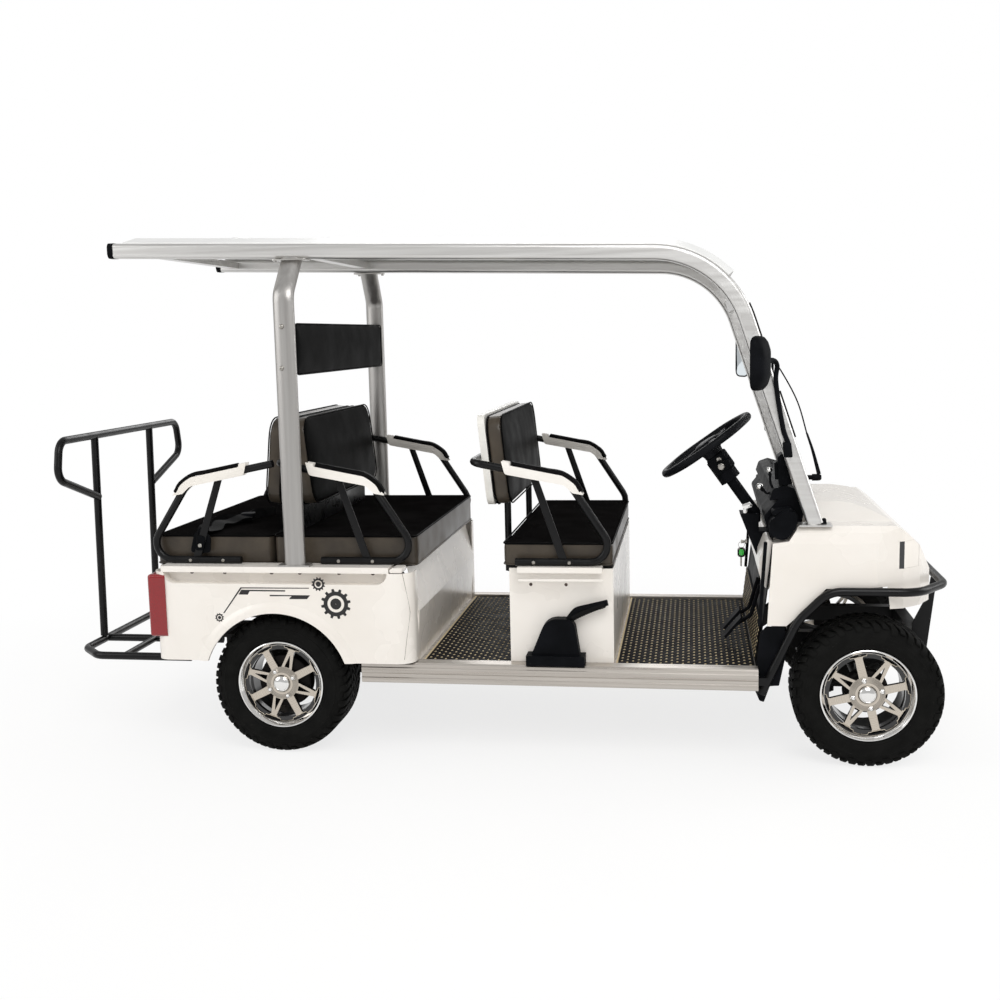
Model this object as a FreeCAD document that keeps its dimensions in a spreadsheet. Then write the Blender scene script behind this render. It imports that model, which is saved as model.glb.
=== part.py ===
import FreeCAD, Part
import math
import os
import Sketcher
from FreeCAD import Placement, Rotation, Vector

# Golf cart with three rows of seats, two of them back to back, under one roof.
# All lengths are in mm. X runs forward from the rear axle, Y to the left, Z up from the ground.
# Every finished piece is then moved along X, so that the model's origin lies on the ground
# in the middle of its overall length.

SIZES = {
    # overall ends, from the rear axle
    "rearEnd": 901, "frontEnd": 2412,
    # wheels
    "wheelBase": 2121, "wheelRadius": 260, "tyreWidth": 214, "sidewallEdge": 86,
    "rimRadius": 163.5, "rimWidth": 190, "rimWall": 7, "rimDrop": 18, "rimFaceInset": 22,
    "spokeThick": 16,
    "hubRadius": 62, "boreRadius": 33, "capRadius": 30, "lugCircle": 50.8, "lugRadius": 8,
    "spokeEnd": 133, "pocketInner": 135, "rearRimTurn": 27, "frontRimTurn": 14,
    "rearRimFace": 624, "frontRimFace": 592,
    # running gear
    "kingpinY": 400, "kingpinRadius": 9, "knuckleRadius": 22, "knuckleHeight": 84,
    "beamRadius": 22, "armLength": 110, "armThick": 12, "rodRadius": 9, "rodEye": 15,
    "studRadius": 5, "studFit": 0.6, "hubFlange": 60, "flangeThick": 10, "spindleFit": 0.6,
    "axleRadius": 35, "diffRadius": 88, "motorRadius": 74, "motorLength": 240, "motorBack": 150,
    "springY": 330, "springWide": 50, "springThick": 18, "springHalf": 300,
    "frontSpringY": 222, "frontSpringHalf": 215,
    # ladder frame
    "railWide": 50, "railHigh": 60, "railOuter": 250, "railLow": 276, "railHighLevel": 340,
    "railRear": 440, "railFront": 2370, "kickRear": 376, "kickRearTop": 318, "kickFront": 1762,
    "kickFrontTop": 1850,
    "crossWide": 46, "postLong": 40, "postInset": 12, "beamInset": 3.4, "dashPostX": 1870,
    # floor and sills
    "floorRear": 314, "floorFront": 1741, "floorThick": 4, "floorUnder": 336,
    "matThick": 5, "matGap": 3,
    "sillWide": 62, "sillHigh": 76, "sillUnder": 276, "sillFront": 1745, "sillGroove": 3,
    # rear body
    "bodyRear": 470, "bodyFront": 520, "bodyHalf": 655, "bodyUnder": 356, "bodyTop": 700, "panelThick": 4,
    "cornerRear": 50, "cornerFront": 60, "returnWide": 93, "archRadius": 280, "flareRadius": 322,
    "flareOut": 10,
    "recessRear": 425, "recessFront": 430, "recessLow": 648, "recessDeep": 42, "recessRound": 45,
    "deckThick": 4, "deckRailWide": 83, "deckRailHigh": 22, "deckRailTop": 712, "deckRailRear": 432,
    "deckRailFront": 436,
    "riserTop": 487, "riserKnee": 525, "riserKneeHigh": 534, "riserFoot": 514,
    "lampRear": 18, "lampSide": 5, "lampForward": 52, "lampLow": 444, "lampHigh": 680, "lampInward": 75,
    # front bench
    "benchRear": 862, "benchFront": 1238, "benchInset": 2, "benchTop": 697, "benchWall": 5,
    "ledgeWide": 65, "ledgeHigh": 20, "ledgeRear": 900, "ledgeFront": 1202,
    "batteryLong": 300, "batteryWide": 820, "batteryHigh": 250,
    "seatBoard": 8, "lidGap": 0.5, "boardInset": 12,
    # cushions
    "cushionOver": 8, "frontCushionRear": 841, "frontCushionFront": 1238, "frontCushionTop": 792,
    "rearCushionTop": 817, "rearCushionRear": 489, "rearCushionFront": 525, "cushionSplit": 25,
    "cushionGap": 4,
    "cushionRound": 14,
    # backrests
    "backHalf": 470, "backThick": 62, "backLean": 5.7, "backBottom": 912, "backTop": 1245,
    "backRound": 40,
    "midBackFront": 114, "frontBackFront": 860, "shellThick": 26, "seatPitch": 720,
    "rearSeatMirror": 30, "postX": 822, "postRadius": 13, "postY": 300, "uprightTop": 1200,
    "uprightWide": 30, "plinthHalf": 430,
    # armrests
    "armTube": 14, "armOut": 32, "armBend": 60, "armBackBend": 45,
    "armHigh": 1062, "armFrontX": 1130, "armSlope": 23.5,
    "armKneeX": 1212, "armKneeHigh": 800, "armFootX": 1195, "armBaseRear": 890, "strutTopX": 950,
    "strutFootX": 1050,
    "strutThick": 7, "strutWide": 30,
    "padWide": 36, "padThick": 14, "padRear": 850,
    # head pad and rear pillars
    "headFront": 118, "headThick": 62, "headLow": 1403, "headHigh": 1594,
    "pillarX": 81, "pillarIn": 25, "pillarLong": 78, "pillarWide": 40, "pillarBend": 1693,
    "pillarBendRadius": 70,
    "pillarTopX": 87, "pillarTopY": 529, "pillarTopZ": 1823, "pillarFoot": 6, "pillarFootLong": 118,
    # roof
    "roofRear": 609, "roofRearZ": 1873, "roofSlope": 1.93, "roofCorner": 1625, "roofRailY": 520,
    "roofRailHigh": 54, "roofRailWide": 60, "roofBend": 345, "roofRailRound": 14,
    "screenLean": 18.5, "baseFlange": 5, "baseFlangeLong": 112, "baseFlangeHalf": 39,
    "roofPanelHalf": 508, "roofCrown": 42, "roofPanelThick": 5, "roofPanelRear": 575, "roofShoulder": 395,
    "roofPanelTurn": 44, "roofBarWide": 44, "roofBarHigh": 26, "midBarX": 87,
    # windscreen
    "glassThick": 5, "glassForward": 14, "glassFoot": 912, "glassLength": 690,
    # dash, column and wheel
    "dashHalf": 480, "dashRear": 1768, "dashLow": 800, "dashTop": 938, "dashFront": 1906,
    "wheelHubX": 1568, "wheelHubZ": 1113, "driverY": 285, "columnTilt": 35.2, "columnRadius": 21,
    "columnLength": 345,
    "ringRadius": 181, "ringThick": 14, "ringHub": 40, "spokeWide": 30,
    "shroudWide": 104, "shroudRear": 1690, "shroudTop": 862, "shroudFoot": 684,
    "switchRadius": 40, "switchLong": 95,
    # front wall and pedals
    "wallFootX": 1741, "wallTopX": 1796, "wallGap": 5,
    "pedalX": 1632, "pedalZ": 410, "brakeY": 345, "throttleY": 215, "pedalWide": 70, "pedalLong": 95,
    "pedalTilt": 40,
    # front body
    "cowlRear": 1777, "cowlWall": 5, "cowlNose": 2378, "cowlUnder": 497, "cowlShoulder": 850,
    "cowlTop": 906, "cowlNotch": 790, "cowlEdge": 640, "valanceLow": 560, "valanceRear": 2185,
    # bumper
    "bumperTube": 15, "bumperGap": 18, "bumperZ": 626, "bumperBend": 110, "bumperFootX": 1757,
    "bumperFootZ": 255,
    "bumperKneeX": 1880, "bumperKneeZ": 520, "bumperTurnX": 1985, "bumperCornerX": 2285,
    "bumperCornerIn": 142,
    "bracketThick": 6,
    # mirrors and wiper
    "mirrorX": 1752, "mirrorThick": 44, "mirrorInner": 585, "mirrorOuter": 715, "mirrorLow": 1310,
    "mirrorHigh": 1497,
    "mirrorArm": 7, "wiperY": 130, "wiperX": 1990, "wiperMiddle": 1235, "bladeLong": 340,
    # handbrake
    "brakeRear": 944, "brakeFront": 1119, "brakeTop": 522, "brakeLow": 389, "brakeGap": 8,
    "brakeDeep": 44,
    "brakeLever": 11,
    # rear grab frame and foot frame
    "rackTube": 15, "grabX": 871, "grabLean": 15, "grabPostY": 250, "grabTop": 1168, "grabSideY": 560,
    "grabLoopZ": 1045, "grabReturnZ": 918,
    "grabBend": 70, "footY": 505, "footCornerY": 400, "footBarX": 674, "footLegX": 785,
    "bodyFit": 0.3,
}

doc = FreeCAD.newDocument("golf_cart")
sheet = doc.addObject("Spreadsheet::Sheet", "Sizes")
for row, (alias, number) in enumerate(SIZES.items(), 1):
    sheet.set("A%d" % row, alias)
    sheet.set("B%d" % row, str(number))
    sheet.setAlias("B%d" % row, alias)
doc.recompute()


# A number together with the formula over the sheet's cells that gives it.
class Length:
    def __init__(self, value, text):
        self.value = float(value)
        self.text = text

    def __add__(self, other):
        other = length(other)
        return Length(self.value + other.value, "(%s + %s)" % (self.text, other.text))

    def __radd__(self, other):
        return length(other) + self

    def __sub__(self, other):
        other = length(other)
        return Length(self.value - other.value, "(%s - %s)" % (self.text, other.text))

    def __rsub__(self, other):
        return length(other) - self

    def __mul__(self, other):
        other = length(other)
        return Length(self.value * other.value, "(%s * %s)" % (self.text, other.text))

    def __rmul__(self, other):
        return length(other) * self

    def __truediv__(self, other):
        other = length(other)
        return Length(self.value / other.value, "(%s / %s)" % (self.text, other.text))

    def __neg__(self):
        return Length(-self.value, "(0 - %s)" % self.text)

    def __float__(self):
        return self.value


def length(value):
    if isinstance(value, Length):
        return value
    return Length(value, "(%s)" % repr(float(value)))


def sine(angle):
    angle = length(angle)
    return Length(math.sin(math.radians(angle.value)), "sin(%s * 1 deg)" % angle.text)


def cosine(angle):
    angle = length(angle)
    return Length(math.cos(math.radians(angle.value)), "cos(%s * 1 deg)" % angle.text)


def tangent(angle):
    angle = length(angle)
    return Length(math.tan(math.radians(angle.value)), "tan(%s * 1 deg)" % angle.text)


class Sheet:
    def __getattr__(self, alias):
        return Length(sheet.get(alias), "Sizes.%s" % alias)


s = Sheet()
shift = (s.rearEnd - s.frontEnd) / 2
# half widths that follow the rear body: floor, cowl, bench, bumper, armrests and pillars
floorHalf = s.bodyHalf - s.returnWide
cowlHalf = floorHalf
wallHalf = cowlHalf - s.cowlWall - s.wallGap
benchHalf = floorHalf - s.benchInset
ledgeSide = benchHalf + s.ledgeWide
cushionSide = benchHalf + s.cushionOver
armSide = benchHalf + s.armOut
brakeInside = benchHalf + s.brakeGap
brakeOutside = brakeInside + s.brakeDeep
bumperSide = cowlHalf + s.bumperGap
bumperNoseSide = cowlHalf - s.bumperCornerIn
pillarSide = s.bodyHalf - s.pillarIn
nodes = []
places = {}


def bind(obj, prop, value):
    obj.setExpression(prop, length(value).text)


def place(obj, x=0, y=0, z=0, axis=None, angle=None):
    if axis is not None:
        obj.Placement = Placement(Vector(), Rotation(Vector(*axis), float(length(angle))))
        if isinstance(angle, Length):
            bind(obj, "Placement.Rotation.Angle", angle)
    places[obj.Name] = x
    for name, value in (("x", x), ("y", y), ("z", z)):
        if isinstance(value, Length) or value:
            bind(obj, "Placement.Base.%s" % name, value)
    return obj


# A finished piece: its name and its move to the model's origin.
def node(obj, label, y=None, x=0, z=None, moved=True):
    obj.Label = label
    if moved:
        bind(obj, "Placement.Base.x", shift + places.get(obj.Name, 0) + x)
        if y is not None:
            bind(obj, "Placement.Base.y", y)
        if z is not None:
            bind(obj, "Placement.Base.z", z)
    nodes.append(obj)
    return obj


def mirrored(source, label):
    obj = doc.addObject("Part::Mirroring", "Mirror")
    obj.Source = source
    obj.Normal = Vector(0, 1, 0)
    obj.Label = label
    nodes.append(obj)
    return obj


def box(x0, x1, y0, y1, z0, z1):
    obj = doc.addObject("Part::Box", "Block")
    bind(obj, "Length", length(x1) - x0)
    bind(obj, "Width", length(y1) - y0)
    bind(obj, "Height", length(z1) - z0)
    return place(obj, length(x0), length(y0), length(z0))


AXES = {"x": ((0, 1, 0), 90), "y": ((1, 0, 0), -90), "z": ((0, 0, 1), 0)}


# A cylinder from the point (x, y, z) along the named axis.
def rod(direction, x, y, z, radius, long):
    obj = doc.addObject("Part::Cylinder", "Rod")
    bind(obj, "Radius", radius)
    bind(obj, "Height", long)
    axis, angle = AXES[direction]
    obj.Placement = Placement(Vector(), Rotation(Vector(*axis), angle))
    return place(obj, length(x), length(y), length(z))


def fuse(*shapes):
    obj = doc.addObject("Part::MultiFuse", "Joined")
    obj.Shapes = list(shapes)
    return obj


def common(*shapes):
    obj = doc.addObject("Part::MultiCommon", "Shared")
    obj.Shapes = list(shapes)
    return obj


def cut(base, *tools):
    obj = doc.addObject("Part::Cut", "Trimmed")
    obj.Base = base
    obj.Tool = tools[0] if len(tools) == 1 else fuse(*tools)
    return obj


# Rounds the edges of a shape that the test picks, all by one radius.
def rounded(source, radius, pick):
    doc.recompute()
    obj = doc.addObject("Part::Fillet", "Rounded")
    obj.Base = source
    value = float(length(radius))
    obj.Edges = [(i, value, value) for i, edge in enumerate(source.Shape.Edges, 1) if pick(edge)]
    return obj


def runsAlong(direction):
    def test(edge):
        if not isinstance(edge.Curve, Part.Line):
            return False
        return abs(edge.Curve.Direction.dot(Vector(*direction))) > 0.999
    return test


PLANES = {"xy": "XY_Plane", "xz": "XZ_Plane", "yz": "YZ_Plane"}


# A closed outline of (x, y) or (x, y, radius) corners, each held by two named distances.
def outline(body, plane, corners, offset=0, hole=None):
    sketch = body.newObject("Sketcher::SketchObject", "Outline")
    origin = [item for item in body.Origin.OriginFeatures if item.Role == PLANES[plane]][0]
    sketch.AttachmentSupport = [(origin, "")]
    sketch.MapMode = "FlatFace"
    bind(sketch, "AttachmentOffset.Base.z", offset)
    drawCorners(sketch, corners)
    if hole:
        drawCorners(sketch, hole, "hole")
    return sketch


def drawCorners(sketch, corners, tag=""):
    corners = [(length(c[0]), length(c[1]), c[2] if len(c) > 2 else None) for c in corners]
    count = len(corners)
    points = [Vector(c[0].value, c[1].value, 0) for c in corners]
    trims = []
    for i, corner in enumerate(corners):
        if corner[2] is None:
            trims.append((points[i], points[i], None))
            continue
        back = (points[i - 1] - points[i]).normalize()
        ahead = (points[(i + 1) % count] - points[i]).normalize()
        half = back.getAngle(ahead) / 2
        radius = float(length(corner[2]))
        reach = radius / math.tan(half)
        centre = points[i] + (back + ahead).normalize() * (radius / math.sin(half))
        trims.append((points[i] + back * reach, points[i] + ahead * reach, centre))
    lines = []
    for i in range(count):
        lines.append(sketch.addGeometry(Part.LineSegment(trims[i][1], trims[(i + 1) % count][0])))
    for i, (x, y, radius) in enumerate(corners):
        before, after = lines[i - 1], lines[i]
        if radius is None:
            sketch.addConstraint(Sketcher.Constraint("Coincident", before, 2, after, 1))
            holder, end = after, 1
        else:
            first, last, centre = trims[i]
            turn = (first - centre).cross(last - centre).z
            start, stop = (first, last) if turn > 0 else (last, first)
            a0 = math.atan2(start.y - centre.y, start.x - centre.x)
            a1 = math.atan2(stop.y - centre.y, stop.x - centre.x)
            circle = Part.Circle(centre, Vector(0, 0, 1), float(length(radius)))
            arc = sketch.addGeometry(Part.ArcOfCircle(circle, a0, a1 if a1 > a0 else a1 + 2 * math.pi))
            ends = (1, 2) if turn > 0 else (2, 1)
            sketch.addConstraint(Sketcher.Constraint("Tangent", before, 2, arc, ends[0]))
            sketch.addConstraint(Sketcher.Constraint("Tangent", arc, ends[1], after, 1))
            index = sketch.addConstraint(Sketcher.Constraint("Radius", arc, float(length(radius))))
            sketch.renameConstraint(index, "%sround%d" % (tag, i))
            bind(sketch, "Constraints.%sround%d" % (tag, i), radius)
            holder = sketch.addGeometry(Part.Point(points[i]), True)
            end = 1
            sketch.addConstraint(Sketcher.Constraint("PointOnObject", holder, 1, before))
            sketch.addConstraint(Sketcher.Constraint("PointOnObject", holder, 1, after))
        for name, kind, value in (("%sacross%d" % (tag, i), "DistanceX", x), ("%sup%d" % (tag, i),
                "DistanceY", y)):
            index = sketch.addConstraint(Sketcher.Constraint(kind, -1, 1, holder, end, value.value))
            sketch.renameConstraint(index, name)
            bind(sketch, "Constraints.%s" % name, value)


# A body padded from one outline. On "xz" the pad runs from y = high down to y = low.
def padded(plane, corners, low, high):
    body = doc.addObject("PartDesign::Body", "Body")
    start = -length(high) if plane == "xz" else length(low)
    sketch = outline(body, plane, corners, start)
    pad = body.newObject("PartDesign::Pad", "Pad")
    pad.Profile = sketch
    bind(pad, "Length", length(high) - low)
    return body


# A round section swept along straight runs joined by tangent arcs.
def pathWire(points, bends):
    points = [Vector(*[float(length(v)) for v in p]) for p in points]
    edges = []
    start = points[0]
    for i in range(1, len(points) - 1):
        radius = float(length(bends[i - 1]))
        back = (points[i - 1] - points[i]).normalize()
        ahead = (points[i + 1] - points[i]).normalize()
        half = back.getAngle(ahead) / 2
        reach = radius / math.tan(half)
        first, last = points[i] + back * reach, points[i] + ahead * reach
        middle = points[i] + (back + ahead).normalize() * (radius / math.sin(half) - radius)
        if (first - start).Length > 1e-6:
            edges.append(Part.LineSegment(start, first).toShape())
        edges.append(Part.Arc(first, middle, last).toShape())
        start = last
    edges.append(Part.LineSegment(start, points[-1]).toShape())
    return Part.Wire(edges)


def spine(wire):
    obj = doc.addObject("Part::Feature", "Spine")
    obj.Shape = wire
    return obj


def sweep(section, path):
    obj = doc.addObject("Part::Sweep", "Swept")
    obj.Sections = [section]
    obj.Spine = (path, [])
    obj.Solid = True
    obj.Frenet = False
    obj.Transition = "Transformed"
    return obj


def tube(points, bends, radius):
    path = spine(pathWire(points, bends))
    first = path.Shape.OrderedEdges[0]
    start = Vector(*[float(length(v)) for v in points[0]])
    along = first.tangentAt(first.FirstParameter)
    if (first.valueAt(first.FirstParameter) - start).Length > 1e-3:
        along = first.tangentAt(first.LastParameter) * -1
    section = doc.addObject("Part::Circle", "Round")
    bind(section, "Radius", radius)
    section.Placement = Placement(start, Rotation(Vector(0, 0, 1), along))
    return sweep(section, path)


# One solid of revolution about the wheel's axis, which is Y; corners are (y, radius).
def turned(corners, angle=360):
    body = doc.addObject("PartDesign::Body", "Turned")
    sketch = outline(body, "yz", corners)
    turn = body.newObject("PartDesign::Revolution", "Turn")
    turn.Profile = sketch
    turn.ReferenceAxis = (sketch, ["H_Axis"])
    turn.Angle = angle
    return body


def polar(body, feature, count):
    pattern = body.newObject("PartDesign::PolarPattern", "Around")
    pattern.Originals = [feature]
    axis = [item for item in body.Origin.OriginFeatures if item.Role == "Y_Axis"][0]
    pattern.Axis = (axis, [""])
    pattern.Angle = 360
    pattern.Occurrences = count
    body.Tip = pattern
    return pattern


# Wheels
# The tyre is drawn with its outer side towards +Y, about the middle plane of the rim.
def makeTyre(label, x, y):
    half = s.tyreWidth / 2
    seat = s.rimWidth / 2 - 9
    bead = s.rimRadius - 9
    corners = [(-seat, bead), (seat, bead), (seat + 2.6, s.rimRadius + 0.4), (half, s.wheelRadius - 62),
               (half - 3, s.wheelRadius - 24),
               (s.sidewallEdge, s.wheelRadius - 3), (s.sidewallEdge - 18, s.wheelRadius),
               (18 - s.sidewallEdge, s.wheelRadius), (-s.sidewallEdge, s.wheelRadius - 3),
               (3 - half, s.wheelRadius - 24), (-half, s.wheelRadius - 62),
               (-seat - 2.6, s.rimRadius + 0.4)]
    body = turned(corners)
    return node(body, label, y=y, x=x, z=s.wheelRadius)


# Barrel with two lips, then a face of four solid and four forked spokes round a hub.
def makeRim(label, x, y, outward, turn):
    half = s.rimWidth / 2
    lip = s.rimRadius
    seat = lip - 9 - s.bodyFit
    drop = lip - 9 - s.rimDrop
    o = outward
    inner = seat - s.rimWall
    corners = [(-half, lip), (6 - half, lip), (9 - half, seat), (20 - half, seat), (30 - half, drop),
               (half - 60, drop),
               (half - 48, seat), (half - 9, seat), (half - 6, lip), (half, lip), (half, lip - 6),
               (half - 12, inner + 2),
               (half - 16, inner), (half - 50, inner), (half - 63, drop - s.rimWall),
               (28 - half, drop - s.rimWall),
               (17 - half, inner), (10 - half, inner), (-half, lip - 12)]
    body = turned([(a * o, b) for a, b in corners])
    faceOut = half - s.rimFaceInset
    faceIn = faceOut - s.spokeThick
    hub = outline(body, "yz", [((faceIn - 22) * o, s.boreRadius), ((faceIn - 22) * o, s.hubRadius),
                               (faceOut * o, s.hubRadius),
                               ((faceOut + 8) * o, s.capRadius + 12), ((faceOut + 8) * o, s.boreRadius)])
    ring = outline(body, "yz", [(faceIn * o, s.spokeEnd - 3), (faceIn * o, inner + 3),
                                (faceOut * o, inner + 3), (faceOut * o, s.spokeEnd - 3)])
    for profile, name in ((hub, "Hub"), (ring, "Ring")):
        disc = body.newObject("PartDesign::Revolution", name)
        disc.Profile = profile
        disc.ReferenceAxis = (profile, ["H_Axis"])
        disc.Angle = 360
        doc.recompute()
    low, high = (faceIn, faceOut) if o > 0 else (-faceOut, -faceIn)
    root = s.hubRadius - 8
    end = s.spokeEnd
    solid = outline(body, "xz", [(-15, root), (15, root), (13, end), (-13, end)], -high)
    fork = outline(body, "xz", [onFork(-21, root), onFork(21, root), onFork(10, end), onFork(-10, end)],
                   -high,
                   [onFork(-10, root + 9), onFork(10, root + 9), onFork(0.6, end - 22),
                    onFork(-0.6, end - 22)])
    for profile, name in ((solid, "Spoke"), (fork, "Fork")):
        pad = body.newObject("PartDesign::Pad", name)
        pad.Profile = profile
        bind(pad, "Length", high - low)
        doc.recompute()
        polar(body, pad, 4)
        doc.recompute()
    inside = body.Tip.Shape.Volume
    hollow = outline(body, "xz", [(-26, s.pocketInner), (26, s.pocketInner), (30, inner - 6),
                                  (15, inner - 3),
                                  (-15, inner - 3), (-30, inner - 6)], -high)
    pocket = body.newObject("PartDesign::Pocket", "Pocket")
    pocket.Profile = hollow
    pocket.Midplane = True
    bind(pocket, "Length", s.spokeThick * 2 + 4)
    doc.recompute()
    polar(body, pocket, 8)
    doc.recompute()
    if body.Tip.Shape.Volume > inside - 1000:
        raise RuntimeError("pockets missing in %s" % label)
    lugs = [rod("y", s.lugCircle * cosine(a), -200, s.lugCircle * sine(a), s.lugRadius, 400) for a in (0,
            90, 180, 270)]
    rim = cut(body, *lugs)
    rim.Placement = Placement(Vector(), Rotation(Vector(0, 1, 0), -float(turn)))
    bind(rim, "Placement.Rotation.Angle", -turn)
    return node(rim, label, y=y, x=x, z=s.wheelRadius)


# A point of the forked spoke that stands midway between two solid ones.
def onFork(across, along):
    middle = math.sqrt(0.5)
    return (length(along) * middle + across * middle, length(along) * middle - across * middle)


for end, x, face, turn in (("rear", length(0), s.rearRimFace, s.rearRimTurn), ("front", s.wheelBase,
        s.frontRimFace, s.frontRimTurn)):
    for side, o in (("right", -1), ("left", 1)):
        middle = (face - s.rimWidth / 2) * o
        makeTyre("tyre_%s_%s" % (end, side), x, middle)
        makeRim("rim_%s_%s" % (end, side), x, middle, o, turn)

# Hub plane of each wheel, where the flange of the axle or spindle meets it.
hubBack = s.rimFaceInset + s.spokeThick + 22
rearSeat = s.rearRimFace - hubBack
frontSeat = s.frontRimFace - hubBack

# Ladder frame
kick = [(-s.railRear, s.railHighLevel), (s.kickRearTop, s.railHighLevel), (s.kickRear, s.railLow),
        (s.kickFront, s.railLow), (s.kickFrontTop, s.railHighLevel), (s.railFront, s.railHighLevel),
        (s.railFront, s.railHighLevel + s.railHigh), (s.kickFrontTop - 20, s.railHighLevel + s.railHigh),
        (s.kickFront - 20, s.railLow + s.railHigh), (s.kickRear + 20, s.railLow + s.railHigh),
        (s.kickRearTop + 20, s.railHighLevel + s.railHigh), (-s.railRear, s.railHighLevel + s.railHigh)]
railInner = s.railOuter - s.railWide
frameParts = [padded("xz", kick, railInner, s.railOuter), padded("xz", kick, -s.railOuter, -railInner)]
for x, half in ((s.kickRear + 10, floorHalf), ((s.benchRear + s.benchFront) / 2, floorHalf),
                (s.floorFront - s.crossWide - 10, floorHalf)):
    frameParts.append(box(x, x + s.crossWide, -half, half, s.railLow + 8, s.railLow + s.railHigh))
frameParts.append(box(-s.railRear, s.crossWide - s.railRear, -s.footY - 25, s.footY + 25,
                      s.railHighLevel, s.railHighLevel + s.railHigh - 6))
frameParts.append(box(s.railFront - s.crossWide, s.railFront, -railInner, railInner, s.railHighLevel,
                      s.railHighLevel + s.railHigh))
# posts under the seat deck and under the cowl
deckUnder = s.bodyTop - s.deckThick
for sign in (-1, 1):
    y0, y1 = (railInner, s.railOuter) if sign > 0 else (-s.railOuter, -railInner)
    frameParts.append(box(-s.railRear, s.postLong - s.railRear, y0, y1, s.railHighLevel + 10, deckUnder))
    frameParts.append(box(s.riserTop - s.postInset - s.postLong, s.riserTop - s.postInset, y0, y1,
                          s.railLow + 10, deckUnder))
    frameParts.append(box(s.dashPostX, s.dashPostX + s.postLong, y0, y1, s.railHighLevel + 10,
                          s.dashLow - s.bodyFit))
for sign in (-1, 1):
    y0, y1 = (s.railOuter - 1,
              s.springY + s.springWide / 2) if sign > 0 else (-s.springY - s.springWide / 2,
                                                              1 - s.railOuter)
    frameParts.append(box(-s.springHalf - 12, 28 - s.springHalf, y0, y1, s.railHighLevel,
                          s.railHighLevel + 40))
    frameParts.append(box(s.springHalf - 28, s.springHalf + 12, y0, y1, s.railHighLevel,
                          s.railHighLevel + 40))
dashBeamHalf = cowlHalf - s.cowlWall - s.beamInset
frameParts.append(box(s.dashPostX, s.dashPostX + s.postLong, -dashBeamHalf, dashBeamHalf,
                      s.dashLow - s.postLong, s.dashLow - s.bodyFit))
chassis = node(fuse(*frameParts), "chassis_frame")

# Sills, floor
sillIn = floorHalf + s.bodyFit
sillTop = s.sillUnder + s.sillHigh
sillOut = sillIn + s.sillWide
g = s.sillGroove
third = s.sillHigh / 4
sillCorners = [(sillIn, s.sillUnder), (sillOut - 6, s.sillUnder), (sillOut, s.sillUnder + 6),
               (sillOut, s.sillUnder + third), (sillOut - g, s.sillUnder + third + g),
               (sillOut - g, s.sillUnder + third * 2 - g), (sillOut, s.sillUnder + third * 2),
               (sillOut, s.sillUnder + third * 3), (sillOut - g, s.sillUnder + third * 3 + g),
               (sillOut - g, sillTop - 6), (sillOut - g - 6, sillTop), (sillIn, sillTop)]
sillRight = padded("yz", [(-a, b) for a, b in sillCorners], s.floorRear, s.sillFront)
node(sillRight, "sill_right")
mirrored(sillRight, "sill_left")
floorTop = s.floorUnder + s.floorThick
node(box(s.riserTop - s.postInset + s.bodyFit, s.floorFront, -floorHalf, floorHalf, s.floorUnder,
         floorTop), "floor_pan")
matRear = box(s.riserKnee + s.matGap, s.benchRear - s.matGap, -floorHalf, floorHalf, floorTop,
              floorTop + s.matThick)
matFront = box(s.benchFront + s.matGap, s.wallFootX - s.matGap, -floorHalf, floorHalf, floorTop,
               floorTop + s.matThick)
node(fuse(matRear, matFront), "floor_mat")

# Rear body
def bodyPlan(grow, closed=True):
    return [(-s.bodyRear - grow, -s.bodyHalf - grow, s.cornerRear + grow), (s.bodyFront + grow,
            -s.bodyHalf - grow, s.cornerFront + grow),
            (s.bodyFront + grow, s.bodyHalf + grow, s.cornerFront + grow), (-s.bodyRear - grow,
                    s.bodyHalf + grow, s.cornerRear + grow)]


returnEnd = s.bodyHalf - s.returnWide
t = s.panelThick
sideOuter = padded("xy", bodyPlan(length(0)), s.bodyUnder, s.bodyTop)
sideInner = padded("xy", bodyPlan(-t), s.bodyUnder - 10, s.bodyTop + 10)
keepRight = box(-s.bodyRear - 20, s.bodyFront + 20, -s.bodyHalf - 20, -returnEnd, s.bodyUnder - 5,
                s.bodyTop + 5)
wallShape = common(cut(sideOuter, sideInner), keepRight)
recessOuter = padded("xz", [(-s.recessRear - t, s.bodyTop + 10), (-s.recessRear - t, s.recessLow - t,
        s.recessRound + t),
                            (s.recessFront + t, s.recessLow - t, s.recessRound + t), (s.recessFront + t,
                                    s.bodyTop + 10)],
                     -s.bodyHalf + 1, -s.bodyHalf + s.recessDeep + t)
recessInner = padded("xz", [(-s.recessRear, s.bodyTop + 20), (-s.recessRear, s.recessLow, s.recessRound),
                            (s.recessFront, s.recessLow, s.recessRound), (s.recessFront, s.bodyTop + 20)],
                     -s.bodyHalf - 20, -s.bodyHalf + s.recessDeep)
topTrim = box(-s.bodyRear - 30, s.bodyFront + 30, -s.bodyHalf - 40, 0, s.deckRailTop - s.deckRailHigh,
              s.bodyTop + 60)
flare = place(turned([(-s.bodyHalf + 1, s.archRadius - 0), (-s.bodyHalf - s.flareOut, s.archRadius),
                      (-s.bodyHalf - s.flareOut, s.archRadius + 12), (-s.bodyHalf - s.flareOut + 3,
                              s.flareRadius - 18),
                      (-s.bodyHalf + 1, s.flareRadius)]), 0, 0, s.wheelRadius)
flareKeep = box(-400, 400, -s.bodyHalf - 40, 0, s.bodyUnder, 800)
archHole = rod("y", 0, -s.bodyHalf - 60, s.wheelRadius, s.archRadius, 300)
sideShell = fuse(wallShape, recessOuter, common(flare, flareKeep))
recessCut = common(recessInner, box(-s.bodyRear, s.bodyFront, -s.bodyHalf - 30, 0, s.recessLow - 20,
                                    s.bodyTop + 30))
sideRight = cut(sideShell, recessCut, archHole, topTrim)
node(sideRight, "rear_side_panel_right")
mirrored(sideRight, "rear_side_panel_left")

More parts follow.
